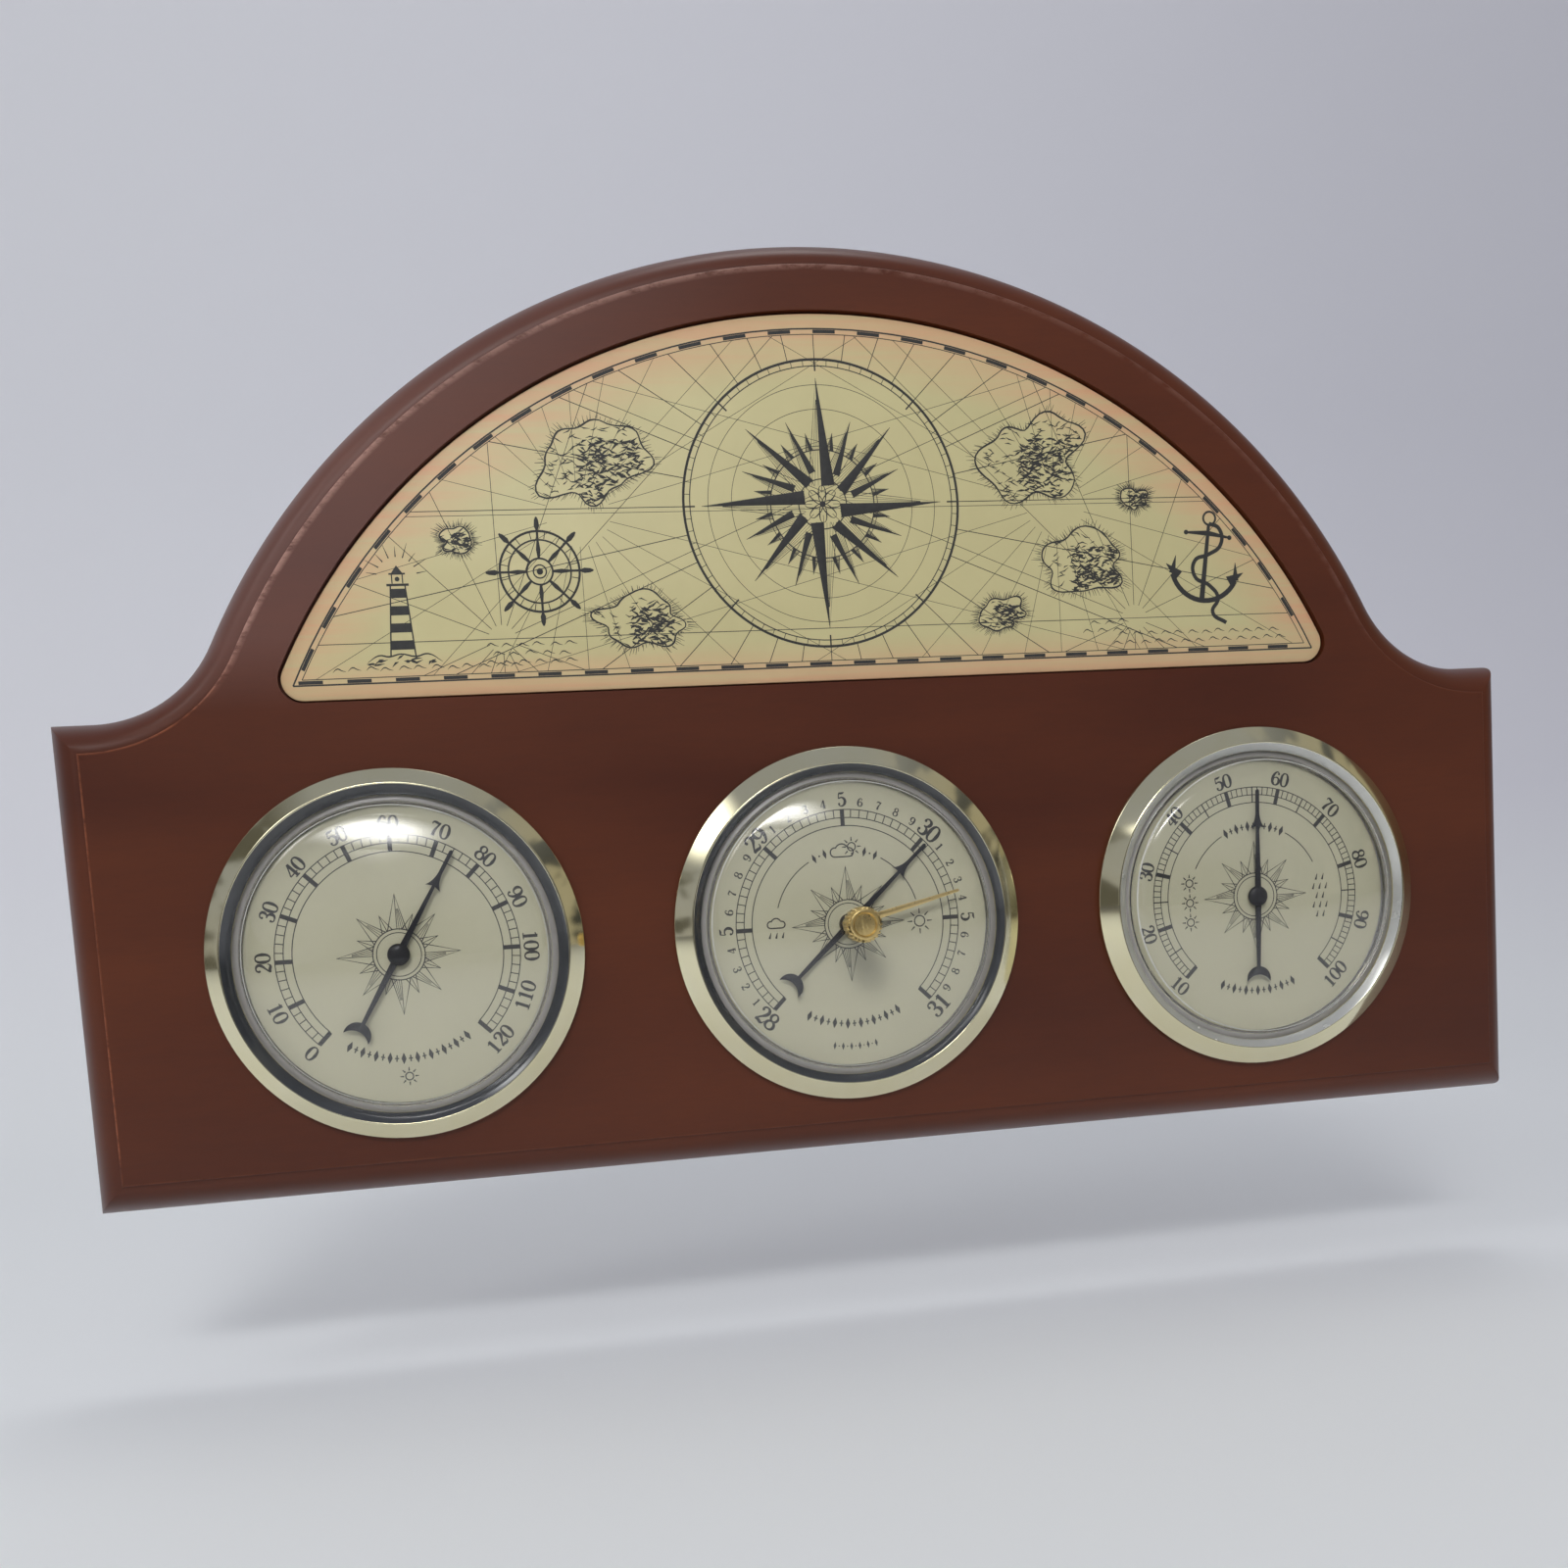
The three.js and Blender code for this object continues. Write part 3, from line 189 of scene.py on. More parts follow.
def paint(red, green, blue):
    """A colour as it is seen on a screen, 0 to 255, as the light that it reflects."""
    shares = [level / 255 for level in (red, green, blue)]
    return *(s / 12.92 if s <= 0.04045 else ((s + 0.055) / 1.055) ** 2.4 for s in shares), 1.0


def smoothed(mesh, sharp_angle):
    """Makes a mesh smooth, with its edges sharp where it turns by more than an angle."""
    mesh.shade_smooth()
    mesh.set_sharp_from_angle(angle=math.radians(sharp_angle))


def mesh_object(name, bm, sharp_angle=30):
    mesh = bpy.data.meshes.new(name)
    bm.to_mesh(mesh)
    bm.free()
    smoothed(mesh, sharp_angle)
    made = bpy.data.objects.new(name, mesh)
    bpy.context.scene.collection.objects.link(made)
    return made


def vertices(geometry):
    return [item for item in geometry if isinstance(item, bmesh.types.BMVert)]


floor_z = -0.220
floor_front = -2.5
wall_y = 0.75
sweep_radius = 0.45
wall_top = 2.2
stage_half_width = 2.6

sweep_y = wall_y - sweep_radius
bm = bmesh.new()
edge = bm.verts.new((-stage_half_width, floor_front, floor_z))
far = bm.verts.new((-stage_half_width, sweep_y, floor_z))
bm.edges.new((edge, far))
pivot = (0, sweep_y, floor_z + sweep_radius)
sweep = bmesh.ops.spin(bm, geom=[far], cent=pivot, axis=(1, 0, 0), angle=math.pi / 2, steps=24)
for vertex in bmesh.ops.extrude_vert_indiv(bm, verts=vertices(sweep["geom_last"]))["verts"]:
    vertex.co.z = wall_top
sheet = bmesh.ops.extrude_edge_only(bm, edges=bm.edges[:])["geom"]
bmesh.ops.translate(bm, verts=vertices(sheet), vec=(2 * stage_half_width, 0, 0))
bmesh.ops.recalc_face_normals(bm, faces=bm.faces)
backdrop = mesh_object("backdrop", bm)

pale = Finish("backdrop_paper")
# Painted shade: the sheet is painted darker towards the right.
paper_with_painted_light = pale.mixed(pale.between(-0.6, 0.6, pale.axis("X")), paint(235, 236, 241), paint(222, 222, 230))
# Painted light: where the sheet lies flat it is painted lighter and greener than where it rises.
floor_painted_light = pale.between(floor_z + 0.15, floor_z, pale.axis("Z")) * 0.5
paper_with_painted_light = pale.mixed(floor_painted_light, paper_with_painted_light, paint(243, 248, 246))
# Painted shade: the sheet in front of the plaque is painted dark, standing for the dark room behind the
# camera.
sheet_colour_with_painted_shade = pale.mixed(pale.between(-0.3, -1.1, pale.axis("Y")), paper_with_painted_light, paint(140, 138, 138))
backdrop.data.materials.append(pale.painted({"Base Color": sheet_colour_with_painted_shade, "Roughness": 0.9}))

room_level = 0.45
room_light = paint(231, 232, 238)
room_ceiling = paint(216, 221, 236)
room_dark = paint(88, 89, 90)
room_pane = paint(232, 224, 200)
room_grey = paint(132, 130, 124)
room_behind = paint(58, 56, 55)
room = Finish("room", bpy.data.worlds.new("room"))
bpy.context.scene.world = room.owner
toward = room.node("ShaderNodeTexCoord", {}, "Generated")
sides, front, above = [room.axis(name, toward) for name in "XYZ"]
glossy = room.node("ShaderNodeLightPath", {}, "Is Glossy Ray")
clutter = room.node("ShaderNodeTexNoise", {"Vector": toward, "Scale": 5.0, "Detail": 2.0})
open_room = room.mixed(room.between(0.0, 0.6, above) * glossy, room_light, room_ceiling)
right_wall = room.mixed(room.between(0.50, 0.56, clutter), room_dark, room_pane)
left_wall = room.mixed(room.between(0.46, 0.52, clutter), room_grey, open_room)
walls = room.mixed(room.between(0.35, 0.9, sides) * glossy, open_room, right_wall)
walls = room.mixed(room.between(-0.45, -0.7, sides) * glossy, walls, left_wall)
behind = room.between(-0.86, -0.985, front) * room.between(0.34, 0.12, above)
room_colour = room.mixed(behind * glossy, walls, room_behind)
lit = room.node("ShaderNodeBackground", {"Color": room_colour, "Strength": room_level})
room.node("ShaderNodeOutputWorld", {"Surface": lit})

lamp_peak = 3.2
middle = (cad_box[0] + cad_box[1]) / 2


def area_lamp(name, place, width, height, power):
    """A soft box, bright in the middle and fading to its edges, so that its mirror image has soft edges."""
    lamp = bpy.data.lights.new(name, "AREA")
    box = Finish(name, lamp)
    patch = box.node("ShaderNodeNewGeometry", {}, "Parametric")
    reach = box.vector("LENGTH", box.vector("SUBTRACT", patch, (0.5, 0.5, 0)), out="Value")
    glow = box.between(0.5, 0.12, reach)
    shine = box.node("ShaderNodeEmission", {"Strength": glow * glow * lamp_peak})
    box.node("ShaderNodeOutputLight", {"Surface": shine})
    lamp.shape = "RECTANGLE"
    lamp.size = width
    lamp.size_y = height
    lamp.energy = power
    made = bpy.data.objects.new(name, lamp)
    made.location = place
    made.rotation_euler = (middle - Vector(place)).to_track_quat("-Z", "Y").to_euler()
    bpy.context.scene.collection.objects.link(made)
    return made


key_place = middle + 1.25 * Vector((-0.215, -0.83, 0.56)).normalized()
area_lamp("key_lamp", key_place, 1.05, 0.26, 4.4)
area_lamp("key_fill", key_place, 0.7, 0.5, 4.2).visible_glossy = False
area_lamp("left_lamp", (-1.3, -0.75, 1.15), 0.8, 1.2, 4.5)
area_lamp("top_lamp", (0.2, 0.2, 1.6), 1.2, 1.0, 5.6)

# Plaque. A board of stained hardwood is shaped with square shoulders, two coves and an arch, run round with a
# quirk and round-over cutter, bored for the three instruments and routed for the inlay, then lacquered.
board_low, board_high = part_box("wood_plaque")
bezel_low, bezel_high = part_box("barometer_bezel")
face_y = board_low.y
dial_line = (bezel_low.z + bezel_high.z) / 2
half_width = board_high.x / mm
foot_drop = (board_low.z - dial_line) / mm
board_thickness = (board_high.y - face_y) / mm
shoulder_height = 52.8
shoulder_width = 8.2
cove_radius = 28.3
arch_centre = 1.5
mould_width = 7.3
mould_depth = 13
quirk_width = 0.4
quirk_depth = 0.5
quirk_ease = 0.12
worn_width = 1.3
back_chamfer = 0.5
mould_steps = 14

cove_x = half_width - shoulder_width
cove_height = shoulder_height + cove_radius
arch_radius = math.hypot(cove_x, cove_height - arch_centre) - cove_radius
tangency = math.atan2(cove_height - arch_centre, cove_x)


def extend(bm, vertex, x, z):
    """A straight edge from a vertex to another place at its depth; gives the new vertex."""
    end = bmesh.ops.extrude_vert_indiv(bm, verts=[vertex])["verts"][0]
    end.co = (x, vertex.co.y, z)
    return end


def swing(bm, vertex, x, z, angle, steps):
    """An arc of edges about (x, z), clockwise from the front; gives the vertex that it ends on."""
    pivot = (x, vertex.co.y, z)
    arc = bmesh.ops.spin(bm, geom=[vertex], cent=pivot, axis=(0, 1, 0), angle=angle, steps=steps)
    return vertices(arc["geom_last"])[0]


def filled(bm):
    """Mirrors half an outline to the left, fills it, and turns the face to the front."""
    bmesh.ops.mirror(bm, geom=bm.verts[:] + bm.edges[:], axis="X", merge_dist=0.001)
    bmesh.ops.contextual_create(bm, geom=bm.edges[:])
    face = bm.faces[:][0]
    face.normal_update()
    if face.normal.y > 0:
        face.normal_flip()
    return face


def thickened(bm, face, thickness):
    """Gives a face its thickness towards the back; gives the back face."""
    slab = bmesh.ops.extrude_face_region(bm, geom=[face], use_keep_orig=True)["geom"]
    bmesh.ops.translate(bm, verts=vertices(slab), vec=(0, thickness, 0))
    bmesh.ops.recalc_face_normals(bm, faces=bm.faces)
    return next(item for item in slab if isinstance(item, bmesh.types.BMFace))


def rounded(bm, edges, offset, segments=2, clamped=True):
    bmesh.ops.bevel(
        bm, geom=edges, offset=offset, segments=segments, profile=0.5, affect="EDGES", material=-1,
        clamp_overlap=clamped,
    )


def inset(bm, face, width, rise):
    bmesh.ops.inset_region(bm, faces=[face], thickness=width, depth=rise, use_even_offset=True)


def placed(name, bm, x=0.0, turn=0.0, sharp_angle=30):
    """An object, brought from millimetres off the plaque's face and the line of the dials to its place."""
    place = Matrix.Translation((x * mm, face_y, dial_line)) @ Matrix.Rotation(turn, 4, "Y")
    bmesh.ops.transform(bm, matrix=place @ Matrix.Scale(mm, 4), verts=bm.verts)
    return mesh_object(name, bm, sharp_angle)


def depths(name):
    """How far a solid's front and back are behind the plaque's face, in millimetres."""
    return [(corner.y - face_y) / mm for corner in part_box(name)]


def centre_of(name):
    """A solid's place across the plaque and above the line of the dials, in millimetres."""
    low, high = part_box(name)
    return (low.x + high.x) / 2 / mm, ((low.z + high.z) / 2 - dial_line) / mm


def cut_away(piece, tools, sharp_angle):
    """Takes the tools out of a piece, and leaves the result as its mesh."""
    for tool in tools:
        cut = piece.modifiers.new("cut", "BOOLEAN")
        cut.operation = "DIFFERENCE"
        cut.solver = "EXACT"
        cut.object = tool
    shaped = bpy.data.meshes.new_from_object(piece.evaluated_get(bpy.context.evaluated_depsgraph_get()))
    piece.modifiers.clear()
    piece.data = shaped
    for tool in tools:
        bpy.data.objects.remove(tool)
    smoothed(shaped, sharp_angle)


upright = Matrix.Rotation(math.pi / 2, 4, "X")


def rod(name, radius, front, back, x=0.0, z=0.0, steps=96):
    """A straight cutter along the depth."""
    bm = bmesh.new()
    place = Matrix.Translation((x, (front + back) / 2, z)) @ upright
    bmesh.ops.create_cone(
        bm, cap_ends=True, segments=steps, radius1=radius, radius2=radius, depth=back - front, matrix=place
    )
    return placed(name, bm)


def fitted(piece, slot, finish, *nodes, body=None):
    """Gives a piece its finish and its body, and hides the solids that it stands for."""
    piece.data.materials.clear()
    piece.data.materials.append(finish)
    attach(piece, body or frame["nodes"][nodes[0]]["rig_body"])
    if nodes:
        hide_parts(*nodes)


inlay_margin = 10
inlay_rise = 1.7
inlay_corner = 4.5
inlay_gap = 0.5
inlay_radius = arch_radius - mould_width - inlay_margin
inlay_foot = shoulder_height + inlay_rise
inlay_recess, inlay_back = depths("inlay_panel")
inlay_thickness = inlay_back - inlay_recess
seat = 0.2


def inlay_outline(grow, depth, steps=64):
    """Half of the inlay's outline, from the top of its arch to the middle of its foot, grown all round."""
    bm = bmesh.new()
    corner_z = inlay_foot + inlay_corner
    corner_x = math.sqrt((inlay_radius - inlay_corner) ** 2 - (corner_z - arch_centre) ** 2)
    turn = math.pi / 2 - math.atan2(corner_z - arch_centre, corner_x)
    top = bm.verts.new((0, depth, arch_centre + inlay_radius + grow))
    side = swing(bm, top, 0, arch_centre, turn, steps)
    corner = swing(bm, side, corner_x, corner_z, math.pi - turn, steps // 4)
    extend(bm, corner, 0, inlay_foot - grow)
    return bm


bm = bmesh.new()
wear = bm.verts.layers.float.new("wear")
crown = bm.verts.new((0, mould_depth, arch_centre + arch_radius))
cove_start = swing(bm, crown, 0, arch_centre, math.pi / 2 - tangency, 56)
cove_end = swing(bm, cove_start, cove_x, cove_height, tangency - math.pi / 2, 18)
shoulder = extend(bm, cove_end, half_width, shoulder_height)
foot_corner = extend(bm, shoulder, half_width, foot_drop)
extend(bm, foot_corner, 0, foot_drop)
face = filled(bm)
back = thickened(bm, face, board_thickness - mould_depth - back_chamfer)
inset(bm, back, back_chamfer, back_chamfer)
round_width = mould_width - quirk_width
round_rise = mould_depth - quirk_depth
turns = [math.pi / 2 * step / mould_steps for step in range(mould_steps + 1)]
for low, high in zip(turns, turns[1:]):
    width = round_width * (math.cos(low) - math.cos(high))
    inset(bm, face, width, round_rise * (math.sin(high) - math.sin(low)))
inset(bm, face, quirk_width - quirk_ease, 0)
inset(bm, face, 0, quirk_depth - quirk_ease)
for vertex in face.verts:
    vertex[wear] = 1.0
inset(bm, face, quirk_ease, quirk_ease)
inset(bm, face, worn_width, 0)
for vertex in face.verts:
    vertex[wear] = 0.0
plaque = placed("plaque_board", bm)

bore_radius = 35
past = 1
instruments = ["thermometer", "barometer", "hygrometer"]
dial_x = {name: centre_of(f"{name}_bezel")[0] for name in instruments}
through = (-past, board_thickness + past)
bores = [rod(f"bore_{name}", bore_radius, *through, x) for name, x in dial_x.items()]
nail_room = 1.1
nail_floor = 9.2
for side in ("left", "right"):
    x, z = centre_of(f"hanger_nail_{side}")
    bores.append(rod("nail_hole", nail_room, nail_floor, board_thickness + past, x, z, 24))
bm = inlay_outline(inlay_gap, -past)
thickened(bm, filled(bm), past + inlay_back + seat)
bores.append(placed("pocket", bm))
cut_away(plaque, bores, 24)

wood = Finish("stained_wood")
streaks = wood.noise(150, 800, 1000, detail=5.0, rough=0.65)
pores = wood.noise(900, 1500, 4200)
figure = wood.noise(7, 14, 26, rough=0.5)
scuffs = wood.noise(190, 190, 420, detail=6.0, rough=0.75)
handling = wood.noise(9, detail=2.0, rough=0.5)
stain = wood.mixed(wood.between(0.3, 0.7, figure), paint(76, 34, 18), paint(97, 46, 21))
grained = wood.mixed(wood.between(0.40, 0.64, streaks) * 0.12, stain, paint(58, 28, 18))
pitted = wood.mixed(wood.between(0.62, 0.70, pores) * 0.2, grained, paint(38, 18, 12))
worn = wood.node("ShaderNodeAttribute", {}, "Fac", attribute_name="wear")
shoulder_z = dial_line + shoulder_height * mm
foot_z = dial_line + foot_drop * mm
arch = wood.between(shoulder_z, shoulder_z + 15 * mm, wood.axis("Z"))
line = wood.between(0.72, 0.9, worn)
handled = wood.between(60 * mm, -110 * mm, wood.axis("X")) * 0.8 + 0.15
kept = wood.between(foot_z + 9 * mm, foot_z + 15 * mm, wood.axis("Z")) * 0.75 + 0.25
patches = wood.between(0.36, 0.54, scuffs) * wood.between(0.30, 0.46, handling)
rubbed = (line + (worn - line) * arch) * handled * kept * patches
bare = wood.mixed(arch, paint(140, 78, 50), paint(184, 142, 128))
# Painted reflection: the left of the arch is painted greyer and pinker, as a sheen of the pale room in the
# lacquer.
painted_sheen = arch * wood.between(-10 * mm, -100 * mm, wood.axis("X")) * 0.14
stained_wood = wood.painted({
    "Base Color": wood.mixed(rubbed, wood.mixed(painted_sheen, pitted, paint(176, 146, 142)), bare),
    "Roughness": wood.between(-1.2, 2.2, figure) * 0.9,
    "Specular IOR Level": 0.26,
    "Coat Weight": 0.22,
    "Coat Roughness": 0.3,
    "Normal": wood.bump(streaks + pores * 0.5, 0.02, 0.35),
})
fitted(plaque, "stained_wood", stained_wood, "wood_plaque")


# Inlay panel. A thin cream panel with a brushed peach tint at its edges drops into the routed pocket, and
# carries an engraver's sea chart: a compass rose, rhumb lines, islands and a pair of harbour motifs.
def pressed(bm, front, offset, clamped=True):
    """Rounds the front edges of a stamped sheet."""
    rim = [e for e in bm.edges if all(abs(v.co.y - front) < 0.01 for v in e.verts)]
    rounded(bm, [e for e in rim if e.calc_face_angle(0) > math.radians(40)], offset, clamped=clamped)


bm = inlay_outline(0, inlay_recess)
thickened(bm, filled(bm), inlay_thickness)
pressed(bm, inlay_recess, 0.2, False)
panel = placed("inlay_board", bm)

card = Finish("printed_inlay")
panel_place = card.place((1, 0, 1), (0, 0, dial_line + arch_centre * mm))
to_arch = inlay_radius * mm - card.vector("LENGTH", panel_place, out="Value")
to_foot = card.axis("Z", panel_place) - (inlay_foot - arch_centre) * mm
near = to_arch.maths("MINIMUM", to_arch, to_foot * 1.6)
strokes = card.noise(14, 300, 420, detail=4.0)
wash = card.between(15 * mm, 0, near) * (card.between(0.30, 0.72, strokes) * 0.75 + 0.25)
cream = card.mixed(card.noise(60, detail=4.0), paint(212, 202, 152), paint(196, 186, 137))
printed_inlay = card.painted({
    "Base Color": card.mixed(wash * 0.85, cream, paint(226, 160, 126)),
    "Roughness": 0.42,
    "Normal": card.bump(strokes, 0.01, 0.5),
})
fitted(panel, "printed_inlay", printed_inlay, "inlay_panel")


# Chart on the inlay. An engraver's sea chart is printed on the panel in dark green-grey ink: a compass rose
# on its rhumb lines, islands in hatching, a ship's wheel, a lighthouse, an anchor and a band of waves.
class Print:
    """Ink lines of any width on a flat face, drawn in millimetres and laid on it as a thin film."""

    lift = 0.012
    flatness = 0.12

    def __init__(self):
        self.curve = bpy.data.curves.new("ink", "CURVE")
        self.curve.dimensions = "3D"
        self.curve.twist_mode = "Z_UP"
        self.curve.bevel_depth = 1
        self.curve.bevel_resolution = 0
        self.curve.use_fill_caps = True
        self.at()

    def at(self, x=0.0, z=0.0, turn=0.0, size=1.0):
        """What is drawn next is centred at (x, z), turned clockwise in degrees, and sized."""
        self.size = size
        turned_by = Matrix.Rotation(-math.radians(turn), 4, "Z")
        self.frame = Matrix.Translation((x, z, 0)) @ turned_by @ Matrix.Scale(size, 4)
        return self

    def line(self, points, width, closed=False):
        """Straight strokes through (x, z) points; width is one value, or one for each point."""
        widths = width if isinstance(width, (list, tuple)) else [width] * len(points)
        spline = self.curve.splines.new("POLY")
        spline.points.add(len(points) - 1)
        for point, (x, z), wide in zip(spline.points, points, widths):
            point.co = self.frame @ Vector((x, z, 0, 1))
            point.radius = wide * self.size / 2
        spline.use_cyclic_u = closed

    def brush(self, points, closed=False, resolution=4):
        """A smooth stroke through (x, z, width) points, as a pen that swells and thins."""
        spline = self.curve.splines.new("BEZIER")
        spline.bezier_points.add(len(points) - 1)
        spline.resolution_u = resolution
        for point, (x, z, wide) in zip(spline.bezier_points, points):
            point.co = self.frame @ Vector((x, z, 0))
            point.radius = wide * self.size / 2
            point.handle_left_type = point.handle_right_type = "AUTO"
        spline.use_cyclic_u = closed

    def ray(self, angle, near, far, width, x=0.0, z=0.0, stretch=1.0):
        """A stroke straight away from a point, at an angle in radians clockwise from the top."""
        self.line([(x + stretch * r * math.sin(angle), z + r * math.cos(angle)) for r in (near, far)], width)

    def arc(self, radius, start, end, width, x=0.0, z=0.0, step=4.0):
        """Part of a circle between two angles, in degrees clockwise from the top."""
        count = max(2, round(abs(end - start) / step))
        angles = [math.radians(start + (end - start) * i / count) for i in range(count + 1)]
        whole = abs(end - start) >= 360
        points = [(x + radius * math.sin(a), z + radius * math.cos(a)) for a in angles]
        self.line(points[:-1] if whole else points, width, whole)

    def dot(self, x, z, radius):
        angles = [math.pi * i / 6 for i in range(7)]
        self.line([(x, z + radius * math.cos(a)) for a in angles], [2 * radius * math.sin(a) for a in angles])

    def laid(self, name, y, x=0.0):
        """The film of ink on the face at depth y, as a mesh in the part's own place."""
        drawn = bpy.data.objects.new(name, self.curve)
        mesh = bpy.data.meshes.new_from_object(drawn)
        bpy.data.objects.remove(drawn)
        bm = bmesh.new()
        bm.from_mesh(mesh)
        flat = Matrix.Translation((0, y - self.lift, 0)) @ upright @ Matrix.Scale(self.flatness, 4, (0, 0, 1))
        bmesh.ops.transform(bm, matrix=flat, verts=bm.verts)
        return placed(name, bm, x, sharp_angle=60)


def two_toned(
    name, grain, first, second, roughness, sockets=(), detail=3.0, rough=0.6, relief=None, through=0
):
    """A finish in two tones of one noise. Its roughness is a value, or (low, high, most) along the noise."""
    finish = Finish(name)
    noise = finish.noise(grain, detail=detail, rough=rough)
    tone = finish.mixed(noise, paint(*first), paint(*second))
    look = {"Base Color": tone, "Roughness": roughness, **dict(sockets)}
    if isinstance(roughness, tuple):
        look["Roughness"] = finish.between(*roughness[:2], noise) * roughness[2]
    if relief:
        look["Normal"] = finish.bump(noise, *relief)
    return finish.painted(look, through)


printing_ink = two_toned("printing_ink", 800, (38, 38, 40), (62, 61, 58), 0.5, detail=4.0, rough=0.5)

chart_line = 0.2
neat_outer = 3.2
neat_inner = 4.4
neat_block = 5
neat_width = 0.62 * (neat_inner - neat_outer)
rose_z = 93
rose_ring = 31
rose_ring_inner = 29.6
rose_reach = 27
wheel_radius = 11.5
draw = random.Random(11)


def neat_corner(margin):
    """The end of a neatline at the panel's foot, and its bearing from the middle of the arch."""
    foot = inlay_foot + margin
    corner = math.sqrt((inlay_radius - margin) ** 2 - (foot - arch_centre) ** 2)
    return corner, foot, math.degrees(math.atan2(corner, foot - arch_centre))


def neatline(ink, margin, width):
    corner, foot, reach = neat_corner(margin)
    ink.arc(inlay_radius - margin, -reach, reach, width, 0, arch_centre, 2)
    ink.line([(-corner, foot), (corner, foot)], width)


def neat_blocks(ink):
    """The border's graduation: every second length between the two neatlines is filled."""
    margin = (neat_outer + neat_inner) / 2
    corner, foot, reach = neat_corner(margin)
    radius = inlay_radius - margin
    step = math.degrees(neat_block / radius)
    count = int(reach / step)
    for place in range(-count, count, 2):
        ink.arc(radius, place * step, (place + 1) * step, neat_width, 0, arch_centre, 2)
    count = int(corner / neat_block)
    for place in range(-count, count, 2):
        ink.line([(place * neat_block, foot), ((place + 1) * neat_block, foot)], neat_width)


def to_border(x, z, angle):
    """How far a bearing runs from a point before it meets the inner neatline."""
    across, up = math.sin(angle), math.cos(angle)
    along = x * across + (z - arch_centre) * up
    out = math.sqrt(along**2 + (inlay_radius - neat_inner) ** 2 - x**2 - (z - arch_centre) ** 2) - along
    return min(out, (inlay_foot + neat_inner - z) / up) if up < 0 else out


def bearings(ink, x, z, start, count, width):
    for line in range(count):
        angle = math.radians(360 * line / count + 0.01)
        ink.ray(angle, start, to_border(x, z, angle), width, x, z)


def rose_point(ink, angle, reach, root, half):
    """One point of a rose: an outline with its right half filled and its left half hatched."""
    ink.at(0, rose_z, angle)
    ink.line([(-half, root), (0, reach), (half, root)], chart_line)
    ink.line([(half / 2, root), (0, reach)], [half, 0.05])
    ink.line([(0, root * 0.6), (0, reach)], 0.12)
    for hatch in range(1, 4):
        side = -half * hatch / 4
        ink.line([(side, root), (0.1 * side, root + 0.8 * (reach - root))], 0.08)


def rose(ink):
    rings = [(25.6, 0.12), (20.4, 0.12), (12.5, 0.16), (11.7, 0.26), (5.4, 0.26)]
    for radius, width in [(rose_ring, 0.55), (rose_ring_inner, 0.22), *rings]:
        ink.arc(radius, 0, 360, width, 0, rose_z, 3)
    for degree in range(0, 360, 5):
        inner, width = (rose_ring_inner - 1.1, 0.34) if degree % 45 == 0 else (rose_ring_inner, 0.14)
        ink.at(0, rose_z, degree).line([(0, inner), (0, rose_ring)], width)
    kinds = [(16, 11.25, 15.5, 11.6, 0.8), (8, 22.5, 19.0, 7.0, 1.5), (4, 45, 23.0, 5.0, 2.3)]
    for count, first, reach, root, half in [*kinds, (4, 0, rose_reach, 4.0, 2.9)]:
        for place in range(count):
            rose_point(ink, first + 360 * place / count, reach, root, half)
    for petal in range(8):
        ink.at(0, rose_z, 45 * petal)
        ink.brush([(0, 0.3, 0.1), (0.8, 2.2, 0.3), (0, 4.0, 0.1), (-0.8, 2.2, 0.3)], True)
    ink.at().dot(0, rose_z, 0.7)


def scribble(ink, x, z, size, count, width, inside):
    """Short pen strokes at seeded places wherever inside(x, z) holds."""
    for _ in range(count):
        left, up = x + draw.uniform(-size, size), z + draw.uniform(-size, size)
        if inside(left, up):
            tilt = draw.uniform(-0.7, 0.7)
            reach = draw.uniform(0.5, 1.3)
            across, along = reach * math.cos(tilt), reach * math.sin(tilt)
            bend = (left + draw.uniform(-0.4, 0.4), up + draw.uniform(-0.4, 0.4))
            ink.line([(left - across, up - along), bend, (left + across, up + along)], [0.05, width, 0.05])


def island(ink, x, z, size, stretch, shade):
    """A coast of seeded bays with hatching at sea round it and pen shading on land."""
    count = 34
    bays = [(draw.uniform(0.05, 0.22) / n**0.5, n, draw.uniform(0, math.tau)) for n in range(2, 9)]

    def coast(angle):
        return size * (1 + sum(height * math.sin(n * angle + start) for height, n, start in bays))

    def inside(left, up):
        east, north = (left - x) / stretch, up - z
        return math.hypot(east, north) < 0.94 * coast(math.atan2(east, north))

    angles = [math.tau * place / count for place in range(count)]
    spots = [(x + stretch * coast(a) * math.sin(a), z + coast(a) * math.cos(a)) for a in angles]
    ink.brush([(*spot, draw.uniform(0.26, 0.46)) for spot in spots], True, 2)
    for place in range(3 * count):
        angle = math.tau * (place + draw.random()) / (3 * count)
        near, far = coast(angle) + 0.25, coast(angle) + draw.uniform(0.7, 1.9)
        ink.ray(angle, near, far, [0.16, 0.05], x, z, stretch)
    scribble(ink, x, z, size * 1.5 * stretch, shade, 0.3, inside)
    scribble(ink, x + 0.45 * size, z - 0.3 * size, 0.8 * size, shade // 2, 0.5, inside)


def waves(ink, x, z, count, rows):
    """Rows of small crests, one row set half a crest along from the next."""
    for row in range(rows):
        for crest in range(count - row % 2):
            left = x + 3.4 * (crest - (count - 1) / 2 + 0.5 * (row % 2)) + draw.uniform(-0.3, 0.3)
            up = z + 1.9 * row + draw.uniform(-0.2, 0.2)
            stroke = [(-1.3, 0, 0.06), (-0.3, 0.75, 0.26), (0.55, 0.35, 0.2), (1.4, 0.1, 0.06)]
            ink.brush([(left + across, up + rise, wide) for across, rise, wide in stroke], False, 3)


